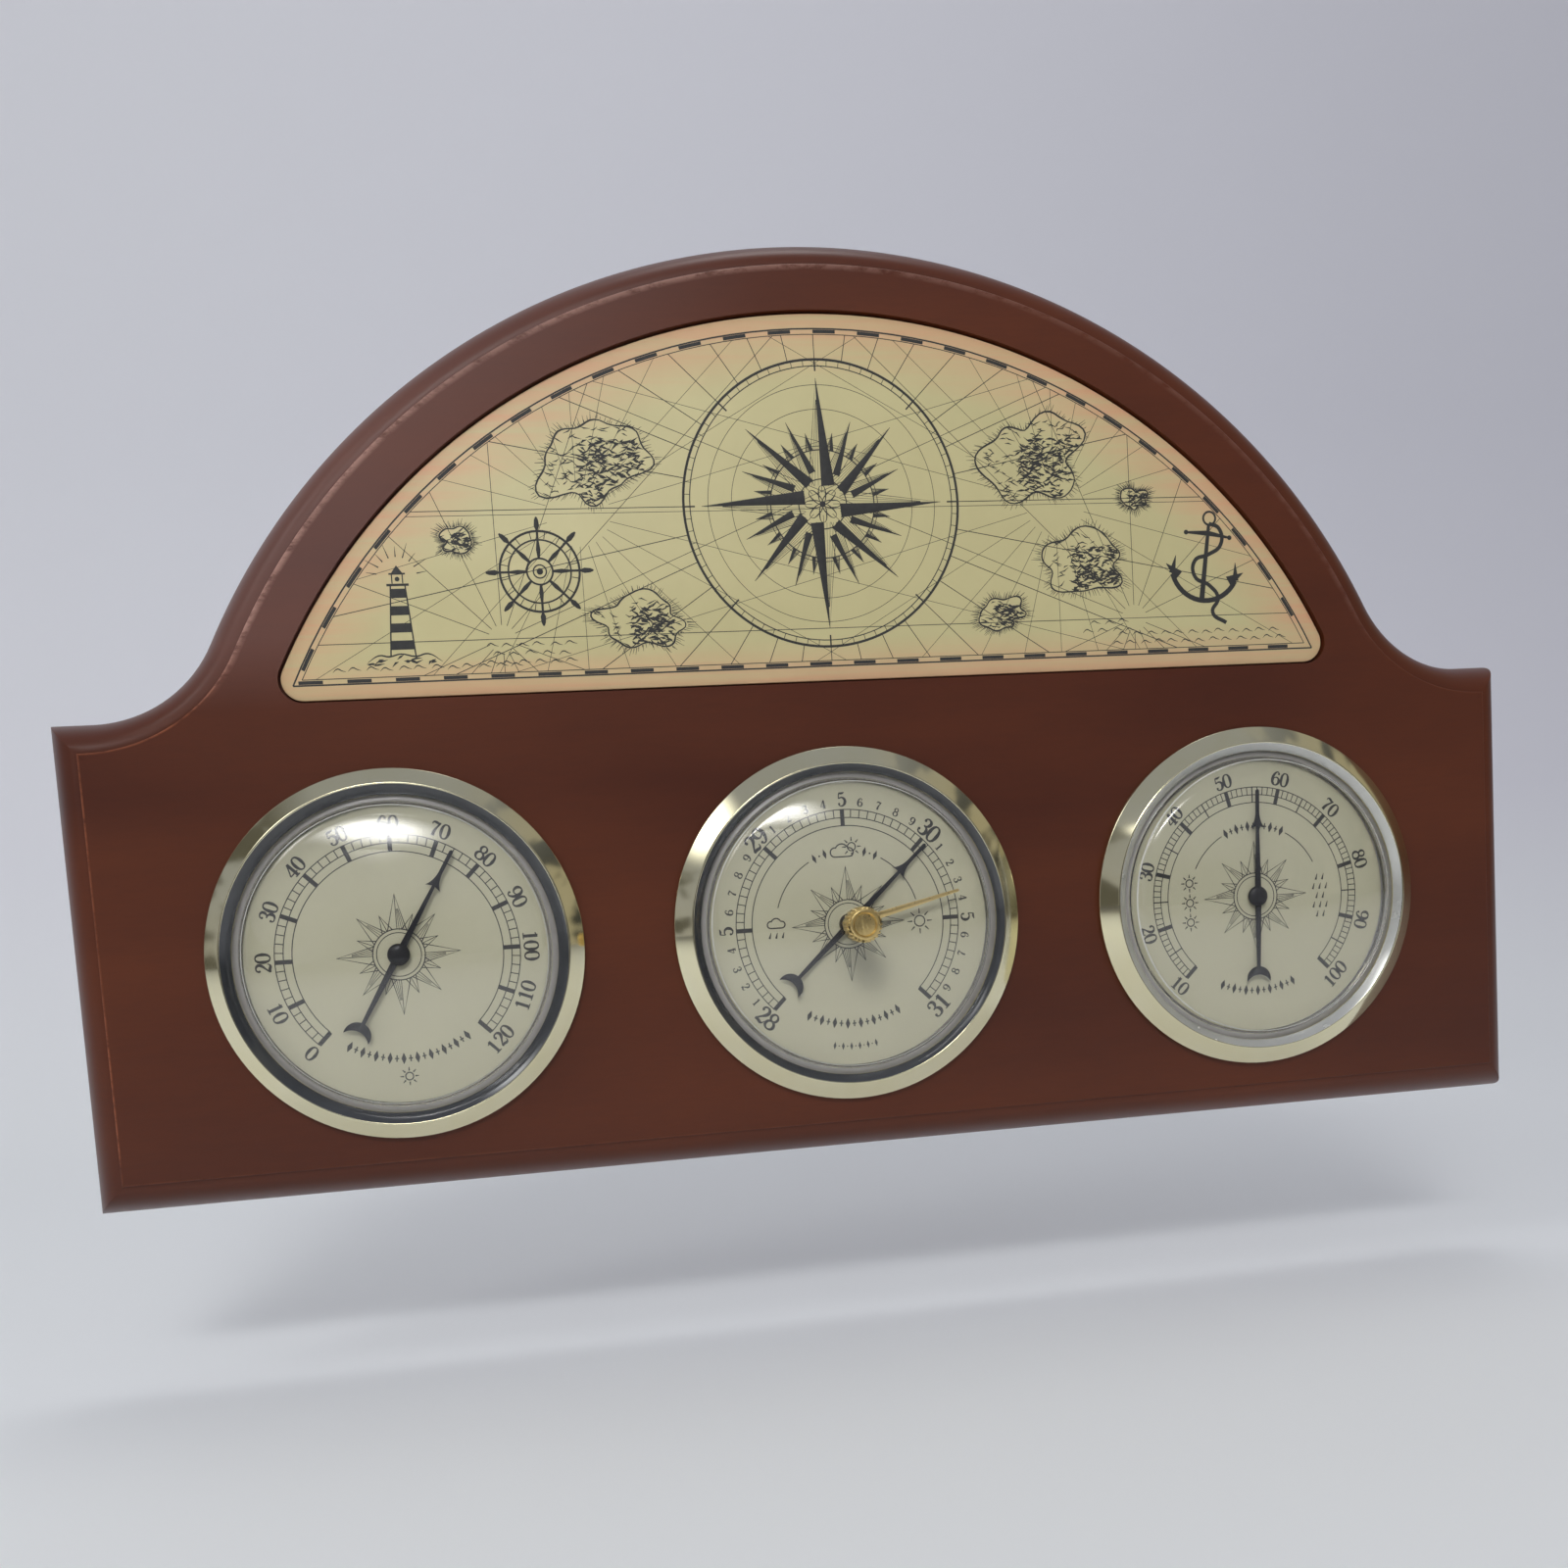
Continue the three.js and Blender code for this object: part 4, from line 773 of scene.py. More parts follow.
def wheel(ink, x, z):
    """A ship's wheel: two rims, a hub and eight turned spokes."""
    for share, width in ((0.74, 0.5), (0.58, 0.36), (0.24, 0.4), (0.12, 0.3)):
        ink.arc(share * wheel_radius, 0, 360, width, x, z, 8)
    spoke = [(0.24, 0.5), (0.40, 0.95), (0.56, 0.5), (0.76, 0.5), (0.83, 1.15), (0.94, 0.9), (1.0, 0.3)]
    for place in range(8):
        ink.at(x, z, 45 * place)
        ink.line([(0, share * wheel_radius) for share, _ in spoke], [wide for _, wide in spoke])
    for peg in range(16):
        ink.at(x, z, 22.5 * peg + 11.25).line([(0, 0.6 * wheel_radius), (0, 0.72 * wheel_radius)], 0.18)
    ink.at().dot(x, z, 0.7)


def lighthouse(ink, x, z):
    """A banded tower with its lantern and rays, on a rock among waves."""
    foot, top, height = 2.6, 1.5, 15

    def half(up):
        return foot + (top - foot) * up / height

    ink.at(x, z)
    for side in (-1, 1):
        ink.line([(side * half(0), 0), (side * half(height), height)], 0.3)
    for band in range(4):
        for line in range(9):
            up = 1.6 + band * 3.6 + 1.7 * line / 8
            ink.line([(-half(up), up), (half(up), up)], 0.22)
    ink.line([(-2.3, height), (2.3, height)], 0.5)
    for side in (-1.1, 1.1):
        ink.line([(side, height + 0.3), (side, height + 2.2)], 0.24)
    ink.line([(-1.7, height + 2.3), (1.7, height + 2.3)], 0.36)
    ink.line([(0, height + 2.4), (0, height + 4.0)], [2.4, 0.1])
    ink.dot(0, height + 1.2, 0.5)
    for ray in range(9):
        ink.ray(math.radians(20 * ray - 80), 4.2, 6.4 + ray % 2, [0.26, 0.06], 0, height + 1.6)
    rock = [(-7.5, -1.0, 0.1), (-5.0, 0.4, 0.3), (-3.0, 0.1, 0.35), (-0.5, 0.6, 0.3), (2.6, 0.0, 0.35)]
    ink.brush([*rock, (5.2, 0.5, 0.3), (8.0, -1.2, 0.1)])
    scribble(ink, 0, -0.9, 7, 150, 0.45, lambda left, up: -1.6 < up < 0.3 - 0.03 * left**2)
    ink.at()


def anchor(ink, x, z):
    """A stocked anchor with a rope through its ring."""
    ink.at(x, z, 8).line([(0, 8.6), (0, -8.6)], [0.8, 1.3])
    ink.arc(1.5, 0, 360, 0.5, 0, 10.2, 20)
    ink.line([(-5.2, 6.4), (0, 6.8), (5.2, 6.4)], [0.5, 1.2, 0.5])
    ink.arc(8.4, 112, 248, 1.15, 0, -0.2, 8)
    for side in (-1, 1):
        ink.dot(side * 5.4, 6.4, 0.55)
        ink.line([(side * 6.2, -3.6), (side * 9.6, -1.2)], [2.6, 0.1])
        ink.line([(side * 7.9, -3.2), (side * 7.4, 0.9)], [1.6, 0.1])
    rope = [(0, 9.0), (2.6, 8.2), (3.4, 4.6), (0.6, 2.0), (-2.6, 0.2), (-2.2, -3.4), (1.6, -5.0), (4.0, -7.6)]
    ink.brush([(*bend, 0.9) for bend in [*rope, (3.0, -11.0), (6.6, -13.0)]], False, 8)
    ink.at()


ink = Print()
neatline(ink, neat_outer, 0.34)
neatline(ink, neat_inner, 0.18)
neat_blocks(ink)
bearings(ink, 0, rose_z, rose_ring, 32, 0.17)
for side in (-1, 1):
    bearings(ink, 72 * side, 66, 3, 16, 0.13)
    bearings(ink, 54 * side, 92, 7, 24, 0.1)
rose(ink)
wheel(ink, -63, 80)
lighthouse(ink, -93, 63)
anchor(ink, 90, 78)
for x, z, size, stretch, shade in [
    (-50, 103, 8.6, 1.25, 420),
    (-42, 69, 5.6, 1.6, 250),
    (-80, 87, 2.6, 1.3, 70),
    (49, 102, 9.4, 1.2, 480),
    (60, 79, 6.6, 1.5, 330),
    (40, 68, 3.6, 1.4, 110),
    (73, 93, 2.4, 1.2, 60),
]:
    island(ink, x, z, size, stretch, shade)
for x, z, count, rows in [(-88, 60.2, 12, 1), (-66, 60.6, 6, 3), (88, 60.2, 13, 2), (66, 63.0, 4, 2)]:
    waves(ink, x, z, count, rows)
chart = ink.laid("inlay_chart", inlay_recess)
fitted(chart, "printed_inlay", printing_ink, body="root")

# Instruments. Each drops into its bore from the front: a drawn steel cup holds the printed dial on a ledge,
# and a spun bezel of pale gold presses the blown lens and its black seal onto the cup's lip.
bezel_radius = (bezel_high.x - bezel_low.x) / 2 / mm
bezel_height = 4.0
bezel_cone = 3.9
ridge_shift = 0.5
bezel_edge = 1.15
bezel_sheet = 0.6
bezel_grip = 0.5
case_wall = 0.6
case_radius = bore_radius - 0.7
case_inner = case_radius - case_wall
case_rear = case_radius - 1.1
case_lip_inset = 1.5
case_back_round = 1.2
dial_radius = case_inner - 0.3
dial_hole = 1.8
dial_thickness = 0.5
gasket_width = 1.0
gasket_thickness = 0.8
lens_sheet = 1.0
lens_skin = 0.4
shoulder_round = 2.6
lens_radius = case_inner + 0.7
lens_foot = lens_radius - 1.9
lens_shoulder = lens_foot - 0.6
lens_wall_height = 3.0
dome_rise = 5.4
lens_hole = 1.1
# The band between these two radii on the lens's round shoulder is a painted highlight.
highlight_start = 0.90
highlight_end = 0.66
case_lip_front = -seat - case_wall
flange_back = case_lip_front - seat
flange_front = flange_back - lens_sheet
lens_front = flange_front - lens_wall_height - dome_rise
gasket_front = flange_back + seat
dial_front = gasket_front + gasket_thickness + seat
ledge_front = dial_front + dial_thickness + seat
case_back = depths("barometer_case")[1]
fine_steps = 128


def bent(start, pull, end, steps):
    """Points on a curve that is drawn towards a third point. The first one is left out."""
    shares = [step / steps for step in range(1, steps + 1)]
    return [
        tuple((1 - t) ** 2 * a + 2 * t * (1 - t) * b + t * t * c for a, b, c in zip(start, pull, end))
        for t in shares
    ]


def arc_points(x, y, radius, start, end, steps):
    """Points on an arc, from one angle in degrees to another."""
    angles = [math.radians(start + (end - start) * step / steps) for step in range(steps + 1)]
    return [(x + radius * math.cos(angle), y + radius * math.sin(angle)) for angle in angles]


def turned(name, profile, x=0.0, z=0.0, steps=fine_steps, sharp_angle=30, eased=0.0):
    """Spins a profile of (radius, depth) points about the depth axis. It ends on the axis or closes."""
    bm = bmesh.new()
    points = [bm.verts.new((radius, depth, 0)) for radius, depth in profile]
    edges = [bm.edges.new(pair) for pair in zip(points, points[1:])]
    if profile[0][0] > 0:
        edges.append(bm.edges.new((points[-1], points[0])))
    bmesh.ops.spin(bm, geom=points + edges, axis=(0, 1, 0), angle=math.tau, steps=steps, use_merge=True)
    bmesh.ops.remove_doubles(bm, verts=bm.verts, dist=0.001)
    bmesh.ops.recalc_face_normals(bm, faces=bm.faces)
    if eased:
        rounded(bm, [edge for edge in bm.edges if edge.calc_face_angle(0) > math.radians(40)], eased)
    bmesh.ops.translate(bm, verts=bm.verts, vec=(0, 0, z))
    return placed(name, bm, x, sharp_angle=sharp_angle)


def bezel_profile(cone):
    """Foot on the wood, outer cone, round ridge, hollow inner cone and the lip that grips the lens."""
    ridge = bezel_radius - cone
    lip = lens_radius - bezel_grip
    lip_back = flange_front - seat
    edge = -seat - bezel_edge
    fold = lip_back - bezel_sheet
    slant = 1.5 * bezel_sheet
    outside = [(-bezel_sheet, -seat), (-0.08, -seat), (0, -seat - 0.08), (0, edge + 0.10), (-0.05, edge)]
    crest = [(0.30, 0.13), (0.16, 0.04), (0, 0), (-0.16, 0.05), (-0.30, 0.19)]
    hem = [(0.16, fold - 0.20), (0.03, fold + 0.02), (0, lip_back - 0.10), (0.10, lip_back)]
    return [
        *[(bezel_radius + out, depth) for out, depth in [*outside, (-0.16, edge - 0.08)]],
        *[(ridge + out, depth - bezel_height) for out, depth in crest],
        *[(lip + out, depth) for out, depth in hem],
        (lens_radius, lip_back),
        (ridge, slant - bezel_height),
        (bezel_radius - slant, -seat - bezel_sheet),
    ]


def lens_profile(hole):
    """The dome, its round shoulder and wall, the flange, and back along the inner skin."""
    ball = (lens_shoulder**2 + dome_rise**2) / (2 * dome_rise)
    shoulder = lens_foot - shoulder_round
    radii = [hole + (shoulder - hole) * step / 24 for step in range(25)]
    skin = [(r, lens_front + ball - math.sqrt(ball**2 - r**2)) for r in radii]
    slope = shoulder / math.sqrt(ball**2 - shoulder**2)
    bend = (lens_foot, skin[-1][1] + slope * shoulder_round)
    skin += bent(skin[-1], bend, (lens_foot, flange_front - 0.25), 12)
    inner = []
    for (r, depth), before, after in zip(skin, [skin[0], *skin], [*skin[1:], skin[-1]]):
        along = Vector((after[0] - before[0], after[1] - before[1])).normalized()
        inner.append((r - lens_skin * along.y, depth + lens_skin * along.x))
    inner[0] = (hole, inner[0][1])
    flange = [(lens_foot + 0.25, flange_front), (lens_radius, flange_front), (lens_radius, flange_back)]
    return [*skin, *flange, (lens_foot - lens_skin, flange_back), *reversed(inner)]


def case_profile():
    """A drawn cup: flat lip, straight wall, the ledge for the dial, and a plain back with a round edge."""
    rear_inner = case_rear - case_wall
    lip_radius = bezel_radius - case_lip_inset
    floor = case_back - case_wall
    ledge_back = ledge_front + case_wall
    inside = [(0, floor), (rear_inner - 0.6, floor), (rear_inner, floor - 0.6), (rear_inner, ledge_front)]
    lip = [(case_inner, ledge_front), (case_inner, case_lip_front), (lip_radius, case_lip_front)]
    outside = [(lip_radius, -seat), (case_radius, -seat), (case_radius, ledge_back)]
    edge = arc_points(case_rear - case_back_round, case_back - case_back_round, case_back_round, 0, 90, 8)
    return [*inside, *lip, *outside, (case_rear, ledge_back + 0.5), *edge, (0, case_back)]


def box_profile(inner, outer, front, back):
    return [(inner, front), (outer, front), (outer, back), (inner, back)]


metal = {"Metallic": 1.0}
partly_metallic = {"Metallic": 0.6}
coat = {"Coat Weight": 1.0, "Coat Roughness": 0.12}
acrylic = {"IOR": 1.49, "Transmission Weight": 1.0}
misted = {"IOR": 1.49, "Transmission Weight": 0.5}
highlight_glass = {"IOR": 1.49, "Transmission Weight": 0.35}
gold_plate = two_toned("pale_gold_plate", 90, (238, 232, 201), (229, 220, 178), (-0.4, 3.2, 0.34), metal)
bezel_lacquer = two_toned("bezel_lacquer", 160, (44, 46, 49), (58, 60, 62), (-0.4, 3.0, 0.3), coat)
# Painted reflection: the hygrometer's inner slope is the gold bezel's own metal, painted a pale,
# half-metallic silver for the pale room it mirrors.
slope_painted_reflection = two_toned("slope_painted_reflection", 160, (214, 214, 208), (200, 200, 194), (-0.6, 2.6, 0.7), partly_metallic)
clear_lens = Finish("clear_lens").painted({"Base Color": (1, 1, 1, 1), "Roughness": 0.03, **acrylic}, 1.0)
lens_edge = two_toned(
    "lens_edge", 300, (192, 189, 184), (176, 173, 168), 0.3, misted, detail=4.0, rough=0.5, through=0.8
)
# Painted highlight: a thin pale band round the lens's shoulder stands in for the shine of light on it.
painted_lens_highlight = two_toned(
    "painted_lens_highlight", 300, (236, 236, 232), (214, 214, 210), 0.25, highlight_glass, detail=4.0, rough=0.5, through=0.8
)
black_rubber = two_toned("black_rubber", 400, (24, 24, 26), (42, 42, 44), 0.7, detail=4.0, relief=(0.03, 0.5))
grey_seal = two_toned("grey_seal", 400, (150, 148, 151), (134, 132, 136), 0.6, detail=4.0)

face_card = Finish("printed_dial")
fibres = face_card.noise(700, rough=0.5)
ageing = face_card.noise(26, rough=0.5)
dial_tone = face_card.mixed(ageing, paint(187, 184, 158), paint(179, 176, 150))
printed_dial = face_card.painted({
    "Base Color": face_card.mixed(fibres * 0.25, dial_tone, paint(164, 160, 136)),
    "Roughness": 0.5,
    "Normal": face_card.bump(fibres, 0.01, 0.4),
})

steel = Finish("bright_steel")
brushed = steel.noise(300, 300, 900, detail=4.0)
bright_steel = steel.painted({
    "Base Color": steel.mixed(steel.noise(50), paint(178, 180, 182), paint(150, 152, 154)),
    "Metallic": 1.0,
    "Roughness": steel.between(-0.5, 1.9, brushed) * 0.7,
    "Normal": steel.bump(brushed, 0.01, 0.4),
})


def banded(piece, x, finish, start, end):
    """Puts another finish on the front of a turned piece between two radii."""
    band = len(piece.data.materials)
    piece.data.materials.append(finish)
    for face in piece.data.polygons:
        radius = math.hypot(face.center.x / mm - x, (face.center.z - dial_line) / mm)
        if start < radius < end and face.normal.y < 0:
            face.material_index = band


vent_ring = 20
vent_radius = 2
vent_count = 6
screw_room = 3.2
screw_x = 2
for name, x in dial_x.items():
    cone = bezel_cone - ridge_shift if name == "thermometer" else bezel_cone
    bezel = turned(f"{name}_gold_bezel", bezel_profile(cone), x, sharp_angle=40)
    fitted(bezel, "gold_metal", gold_plate, f"{name}_bezel")
    # The hygrometer's slope gets its painted reflection; the other two are lacquered black.
    slope = slope_painted_reflection if name == "hygrometer" else bezel_lacquer
    banded(bezel, x, slope, lens_radius - bezel_grip + 0.05, bezel_radius - cone - 0.18)
    lens = turned(f"{name}_dome", lens_profile(lens_hole if name == "barometer" else 0), x, sharp_angle=50)
    fitted(lens, "clear_lens", clear_lens, f"{name}_lens")
    banded(lens, x, lens_edge, lens_foot + 0.2, lens_radius)
    # The painted highlight goes round the lens's shoulder.
    banded(lens, x, painted_lens_highlight, lens_foot - highlight_start, lens_foot - highlight_end)
    ring = box_profile(dial_radius - gasket_width, dial_radius, gasket_front, dial_front - seat)
    fitted(turned(f"{name}_seal", ring, x), "black_rubber", grey_seal, f"{name}_lens_gasket")
    ring = box_profile(dial_hole, dial_radius, dial_front, dial_front + dial_thickness)
    fitted(turned(f"{name}_dial_card", ring, x), "printed_dial", printed_dial, f"{name}_dial")
    cup = turned(f"{name}_cup", case_profile(), x, sharp_angle=35)
    through = (case_back - 2 * past, case_back + past)
    if name == "barometer":
        cut_away(cup, [rod("screw_hole", screw_room, *through, x + screw_x, 0, 48)], 35)
    if name == "hygrometer":
        vents = arc_points(x, 0, vent_ring, 0, 360 - 360 / vent_count, vent_count - 1)
        cut_away(cup, [rod("vent", vent_radius, *through, *place, 32) for place in vents], 35)
    fitted(cup, "bright_steel", bright_steel, f"{name}_case")
    ring = box_profile(case_rear + seat, bore_radius - seat, *depths(f"{name}_grip_ring"))
    ring = turned(f"{name}_rubber_ring", ring, x, eased=0.3)
    fitted(ring, "black_rubber", black_rubber, f"{name}_grip_ring")

# Dial prints. Each card is printed in one pass of near-black ink: a scale over three quarters of a turn with
# its figures, a compass star in the middle, and small weather signs and ornaments. A figure is drawn in
# strokes of (x, height, width) points, in hundredths of its height.
figure_width = 56
six = [
    (44, 88, 5), (33, 97, 6), (16, 82, 11), (7, 45, 16), (13, 14, 13), (28, 3, 6), (45, 15, 12), (49, 33, 14),
    (36, 57, 7), (17, 51, 5), (9, 38, 5),
]
figures = {
    "0": [[(7, 50, 15), (28, 97, 6), (49, 50, 15), (28, 3, 6), "closed"]],
    "1": [
        [(29, 3, 14), (29, 50, 14), (29, 95, 14)],
        [(11, 80, 5), (21, 85, 6), (28, 94, 9)],
        [(11, 2.5, 5), (29, 2.5, 6), (47, 2.5, 5)],
    ],
    "2": [
        [(12, 74, 10), (14, 88, 8), (29, 97, 7), (46, 84, 13), (45, 64, 14), (28, 38, 8), (8, 9, 6)],
        [(7, 5, 6), (24, 10, 13), (40, 5, 12), (50, 12, 5), (52, 25, 4)],
    ],
    "3": [
        [(12, 80, 6), (17, 92, 6), (29, 97, 7), (44, 88, 13), (45, 70, 13), (34, 55, 6), (22, 52.5, 5)],
        [(22, 52.5, 5), (38, 49, 8), (49, 30, 15), (45, 11, 12), (28, 3, 6), (14, 8, 6), (10, 19, 6)],
    ],
    "4": [
        [(36, 95, 6), (20, 60, 6), (3, 27, 6)],
        [(2, 26, 6), (28, 26, 6), (54, 26, 6)],
        [(38, 97, 13), (38, 50, 14), (38, 3, 14)],
        [(22, 2.5, 5), (38, 2.5, 6), (53, 2.5, 5)],
    ],
    "5": [
        [(13, 92, 8), (30, 91, 11), (46, 97, 4)],
        [(14, 93, 5), (12, 74, 5), (11, 55, 5)],
        [(11, 55, 6), (28, 62, 7), (46, 50, 12), (49, 28, 15), (40, 8, 10), (24, 3, 6), (11, 12, 6)],
    ],
    "6": [six],
    "7": [
        [(8, 76, 4), (10, 90, 7), (25, 93, 12), (40, 89, 10), (51, 96, 4)],
        [(50, 94, 6), (35, 60, 9), (26, 30, 14), (25, 3, 16)],
    ],
    "8": [
        [(10, 75, 12), (28, 97, 6), (45, 75, 11), (28, 53, 7), "closed"],
        [(6, 27, 13), (28, 53, 7), (50, 27, 14), (28, 3, 6), "closed"],
    ],
    "9": [[(figure_width - x, 100 - z, wide) for x, z, wide in six]],
}
ball_ends = {"2": [(14, 75)], "3": [(15, 79), (13, 21)], "5": [(14, 18)], "6": [(42, 84)], "9": [(14, 16)]}
ball_radius = 8
boldness = 1.45
figure_stretch = 1.18
scale_outer = 25.7
scale_middle = 23.9
scale_inner = 22.1
hairline = 0.22
bar_width = 0.95
scale_sweep = 270
figure_radius = 28.1
figure_height = 3.3
star_ring = 5.5
star_kinds = [(0, 90, 13.0, 2.0, 3), (45, 90, 11.6, 1.8, 2), (22.5, 45, 9.2, 1.15, 0)]
sign_radius = 16.6
ranges = {"thermometer": (0, 120), "barometer": (28, 31), "hygrometer": (10, 100)}


def dial_angle(value, low, high):
    """The angle of a reading, in degrees clockwise from the top."""
    return ((value - low) / (high - low) - 0.5) * scale_sweep


def write(ink, value, radius, angle, height, upright=True):
    """Figures centred at a radius, their tops outward, or inward where they'd stand on their heads."""
    text = f"{value:g}"
    heading = angle if upright else angle + 180
    turn, bearing, size = math.radians(heading), math.radians(angle), height / 100
    for place, figure in enumerate(text):
        along = (place - len(text) / 2) * figure_width * figure_stretch * size
        left = radius * math.sin(bearing) + along * math.cos(turn) - height / 2 * math.sin(turn)
        foot = radius * math.cos(bearing) - along * math.sin(turn) - height / 2 * math.cos(turn)
        ink.at(left, foot, heading, size)
        for stroke in figures[figure]:
            closed = stroke[-1] == "closed"
            points = stroke[:-1] if closed else stroke
            ink.brush([(figure_stretch * x, z, boldness * wide) for x, z, wide in points], closed)
        for ball_x, ball_z in ball_ends.get(figure, []):
            ink.dot(figure_stretch * ball_x, ball_z, ball_radius)
    ink.at()


def scale(ink, low, high, major, minor, middle=None):
    """Three arcs, a fine tick at each minor step, and a bold bar at each major one."""
    for radius in (scale_outer, scale_middle, scale_inner):
        ink.arc(radius, -scale_sweep / 2, scale_sweep / 2, hairline)
    for count in range(round((high - low) / minor) + 1):
        inner, width = scale_middle, hairline
        if count % round(major / minor) == 0:
            inner, width = scale_inner, bar_width
        elif middle and count % round(middle / minor) == 0:
            inner, width = scale_inner, 0.3
        ink.at(turn=dial_angle(low + count * minor, low, high)).line([(0, inner), (0, scale_outer)], width)
    ink.at()


def numbered(ink, low, high, values, height, radius, heads_down):
    for value in values:
        write(ink, value, radius, dial_angle(value, low, high), height, value not in heads_down)


def star(ink):
    """The compass star: four long points, four middle ones and eight short ones round a double ring."""
    ink.arc(star_ring, 0, 359.9, 0.24, step=8)
    ink.arc(star_ring - 0.8, 0, 359.9, 0.2, step=8)
    for first, step, reach, half, hatches in star_kinds:
        for count in range(round(360 / step)):
            ink.at(turn=first + step * count)
            root = math.sqrt(star_ring**2 - half**2)
            ink.line([(-half, root), (0, reach), (half, root)], 0.23)
            ink.line([(0, star_ring), (0, reach)], 0.15)
            for hatch in range(1, hatches + 1):
                side = half * hatch / (hatches + 1)
                ink.line([(side, root + 0.1), (0.35 * side, root + (reach - root) * 0.6)], 0.12)
    ink.at()


def sun(ink, x, z, size):
    ink.arc(0.42 * size, 0, 360, 0.28, x, z, 24)
    for ray in range(8):
        ink.ray(math.radians(45 * ray), 0.6 * size, size, [0.36, 0.16], x, z)


def cloud(ink, x, z, size):
    """A flat foot and three bumps."""
    ink.arc(0.36 * size, -180, 20, 0.3, x - 0.55 * size, z, 24)
    ink.arc(0.52 * size, -62, 62, 0.3, x, z + 0.12 * size, 20)
    ink.arc(0.34 * size, -20, 180, 0.3, x + 0.58 * size, z - 0.02 * size, 24)
    ink.line([(x - 0.55 * size, z - 0.36 * size), (x + 0.58 * size, z - 0.36 * size)], 0.3)


def drops(ink, x, z, size, count=3):
    for drop in range(count):
        left = x + (drop - (count - 1) / 2) * 0.62 * size
        ink.line([(left + 0.08 * size, z + 0.3 * size), (left - 0.08 * size, z - 0.25 * size)], [0.12, 0.5])


def garland(ink, radius, start, end, count, size=1.2, crossed=True):
    """A printer's band round an arc: tall lozenges, with a small cross or a dot between each two."""
    thin, thick = (0.1, 0.9 * size) if crossed else (0.05, 0.8 * size)
    for place in range(2 * count - 1):
        ink.at(turn=start + (end - start) * place / (2 * count - 2))
        if place % 2 == 0:
            ink.line([(0, radius - size), (0, radius), (0, radius + size)], [thin, thick, thin])
        elif crossed:
            ink.line([(0, radius - 0.6 * size), (0, radius + 0.6 * size)], 0.3)
            ink.line([(-0.36 * size, radius), (0.36 * size, radius)], 0.3)
        else:
            ink.dot(0, radius, 0.2 * size)
    ink.at()


def thermometer_print(ink, low, high):
    scale(ink, low, high, 10, 2)
    numbered(ink, low, high, range(0, 121, 10), figure_height, figure_radius, (0, 10, 110, 120))
    star(ink)
    garland(ink, 22.5, 212, 145, 10)
    sun(ink, 0, -26.4, 2.0)


def barometer_print(ink, low, high):
    scale(ink, low, high, 0.5, 0.05)
    numbered(ink, low, high, (28, 29, 30, 31), 4.0, 28.2, (28, 31))
    for inch in (28, 29, 30):
        write(ink, 5, 28.0, dial_angle(inch + 0.5, low, high), 3.2)
    for inch in (28, 29, 30):
        for tenth in (1, 2, 3, 4, 6, 7, 8, 9):
            angle = dial_angle(inch + tenth / 10, low, high)
            write(ink, tenth, 27.4, angle, 1.9, abs(angle) < 105)
    star(ink)
    ink.arc(sign_radius, -74, -30, hairline)
    ink.arc(sign_radius, 30, 74, hairline)
    cloud(ink, -sign_radius, 0.9, 2.2)
    drops(ink, -sign_radius, -1.6, 2.4)
    sun(ink, 1.7, sign_radius + 0.7, 2.2)
    cloud(ink, -0.6, sign_radius - 0.4, 2.9)
    garland(ink, sign_radius, -25, -16, 2, 1.1, False)
    garland(ink, sign_radius, 16, 25, 2, 1.1, False)
    sun(ink, sign_radius, -0.4, 2.9)
    garland(ink, 22.6, 207, 153, 8)
    garland(ink, 27.8, 190, 170, 6, 0.85, False)


def hygrometer_print(ink, low, high):
    scale(ink, low, high, 10, 1, 5)
    numbered(ink, low, high, range(10, 101, 10), figure_height, figure_radius, (10, 20, 100))
    star(ink)
    ink.arc(sign_radius, -64, -29, hairline)
    ink.arc(sign_radius, 29, 64, hairline)
    for up in (4.0, -0.6, -5.2):
        sun(ink, -sign_radius, up, 2.1)
    garland(ink, sign_radius, -25, 25, 6)
    for up, count in [(3.6, 2), (1.4, 3), (-0.8, 2), (-3.0, 3), (-5.2, 2)]:
        drops(ink, sign_radius, up, 2.6, count)
    garland(ink, 22.4, 204, 157, 7)


for name, draw_print in zip(instruments, (thermometer_print, barometer_print, hygrometer_print)):
    ink = Print()
    draw_print(ink, *ranges[name])
    fitted(ink.laid(f"{name}_print", dial_front, dial_x[name]), "printed_dial", printing_ink, body="root")

# Hands. Each pointer is stamped from thin sheet and painted black, with a crescent tail and a barbed tip, and
# a pressed cap fits over its arbor. The set hand is a plain brass blade.
hand_sheet = 0.3
hand_tip = 25.1
hub_radius = 2.4
hub_height = 1.1
hub_front = dial_front - 1.6 - hub_height / 2
hub_back = hub_front + hub_height
arbor_room = 0.8
blade_root = 0.72
blade_end = 0.36
barb_radius = 16
barb_half_width = 1.8
barb_notch = 0.45
barb_waist = 0.6
neck = 0.42
neck_rise = 3.6
moon_radius = 2.95
moon_centre = 19.55
moon_thickness = 2
moon_hollow = 3.4
readings = {"thermometer": 73.8, "barometer": 30.03, "hygrometer": 55.5}
set_reading = 30.35


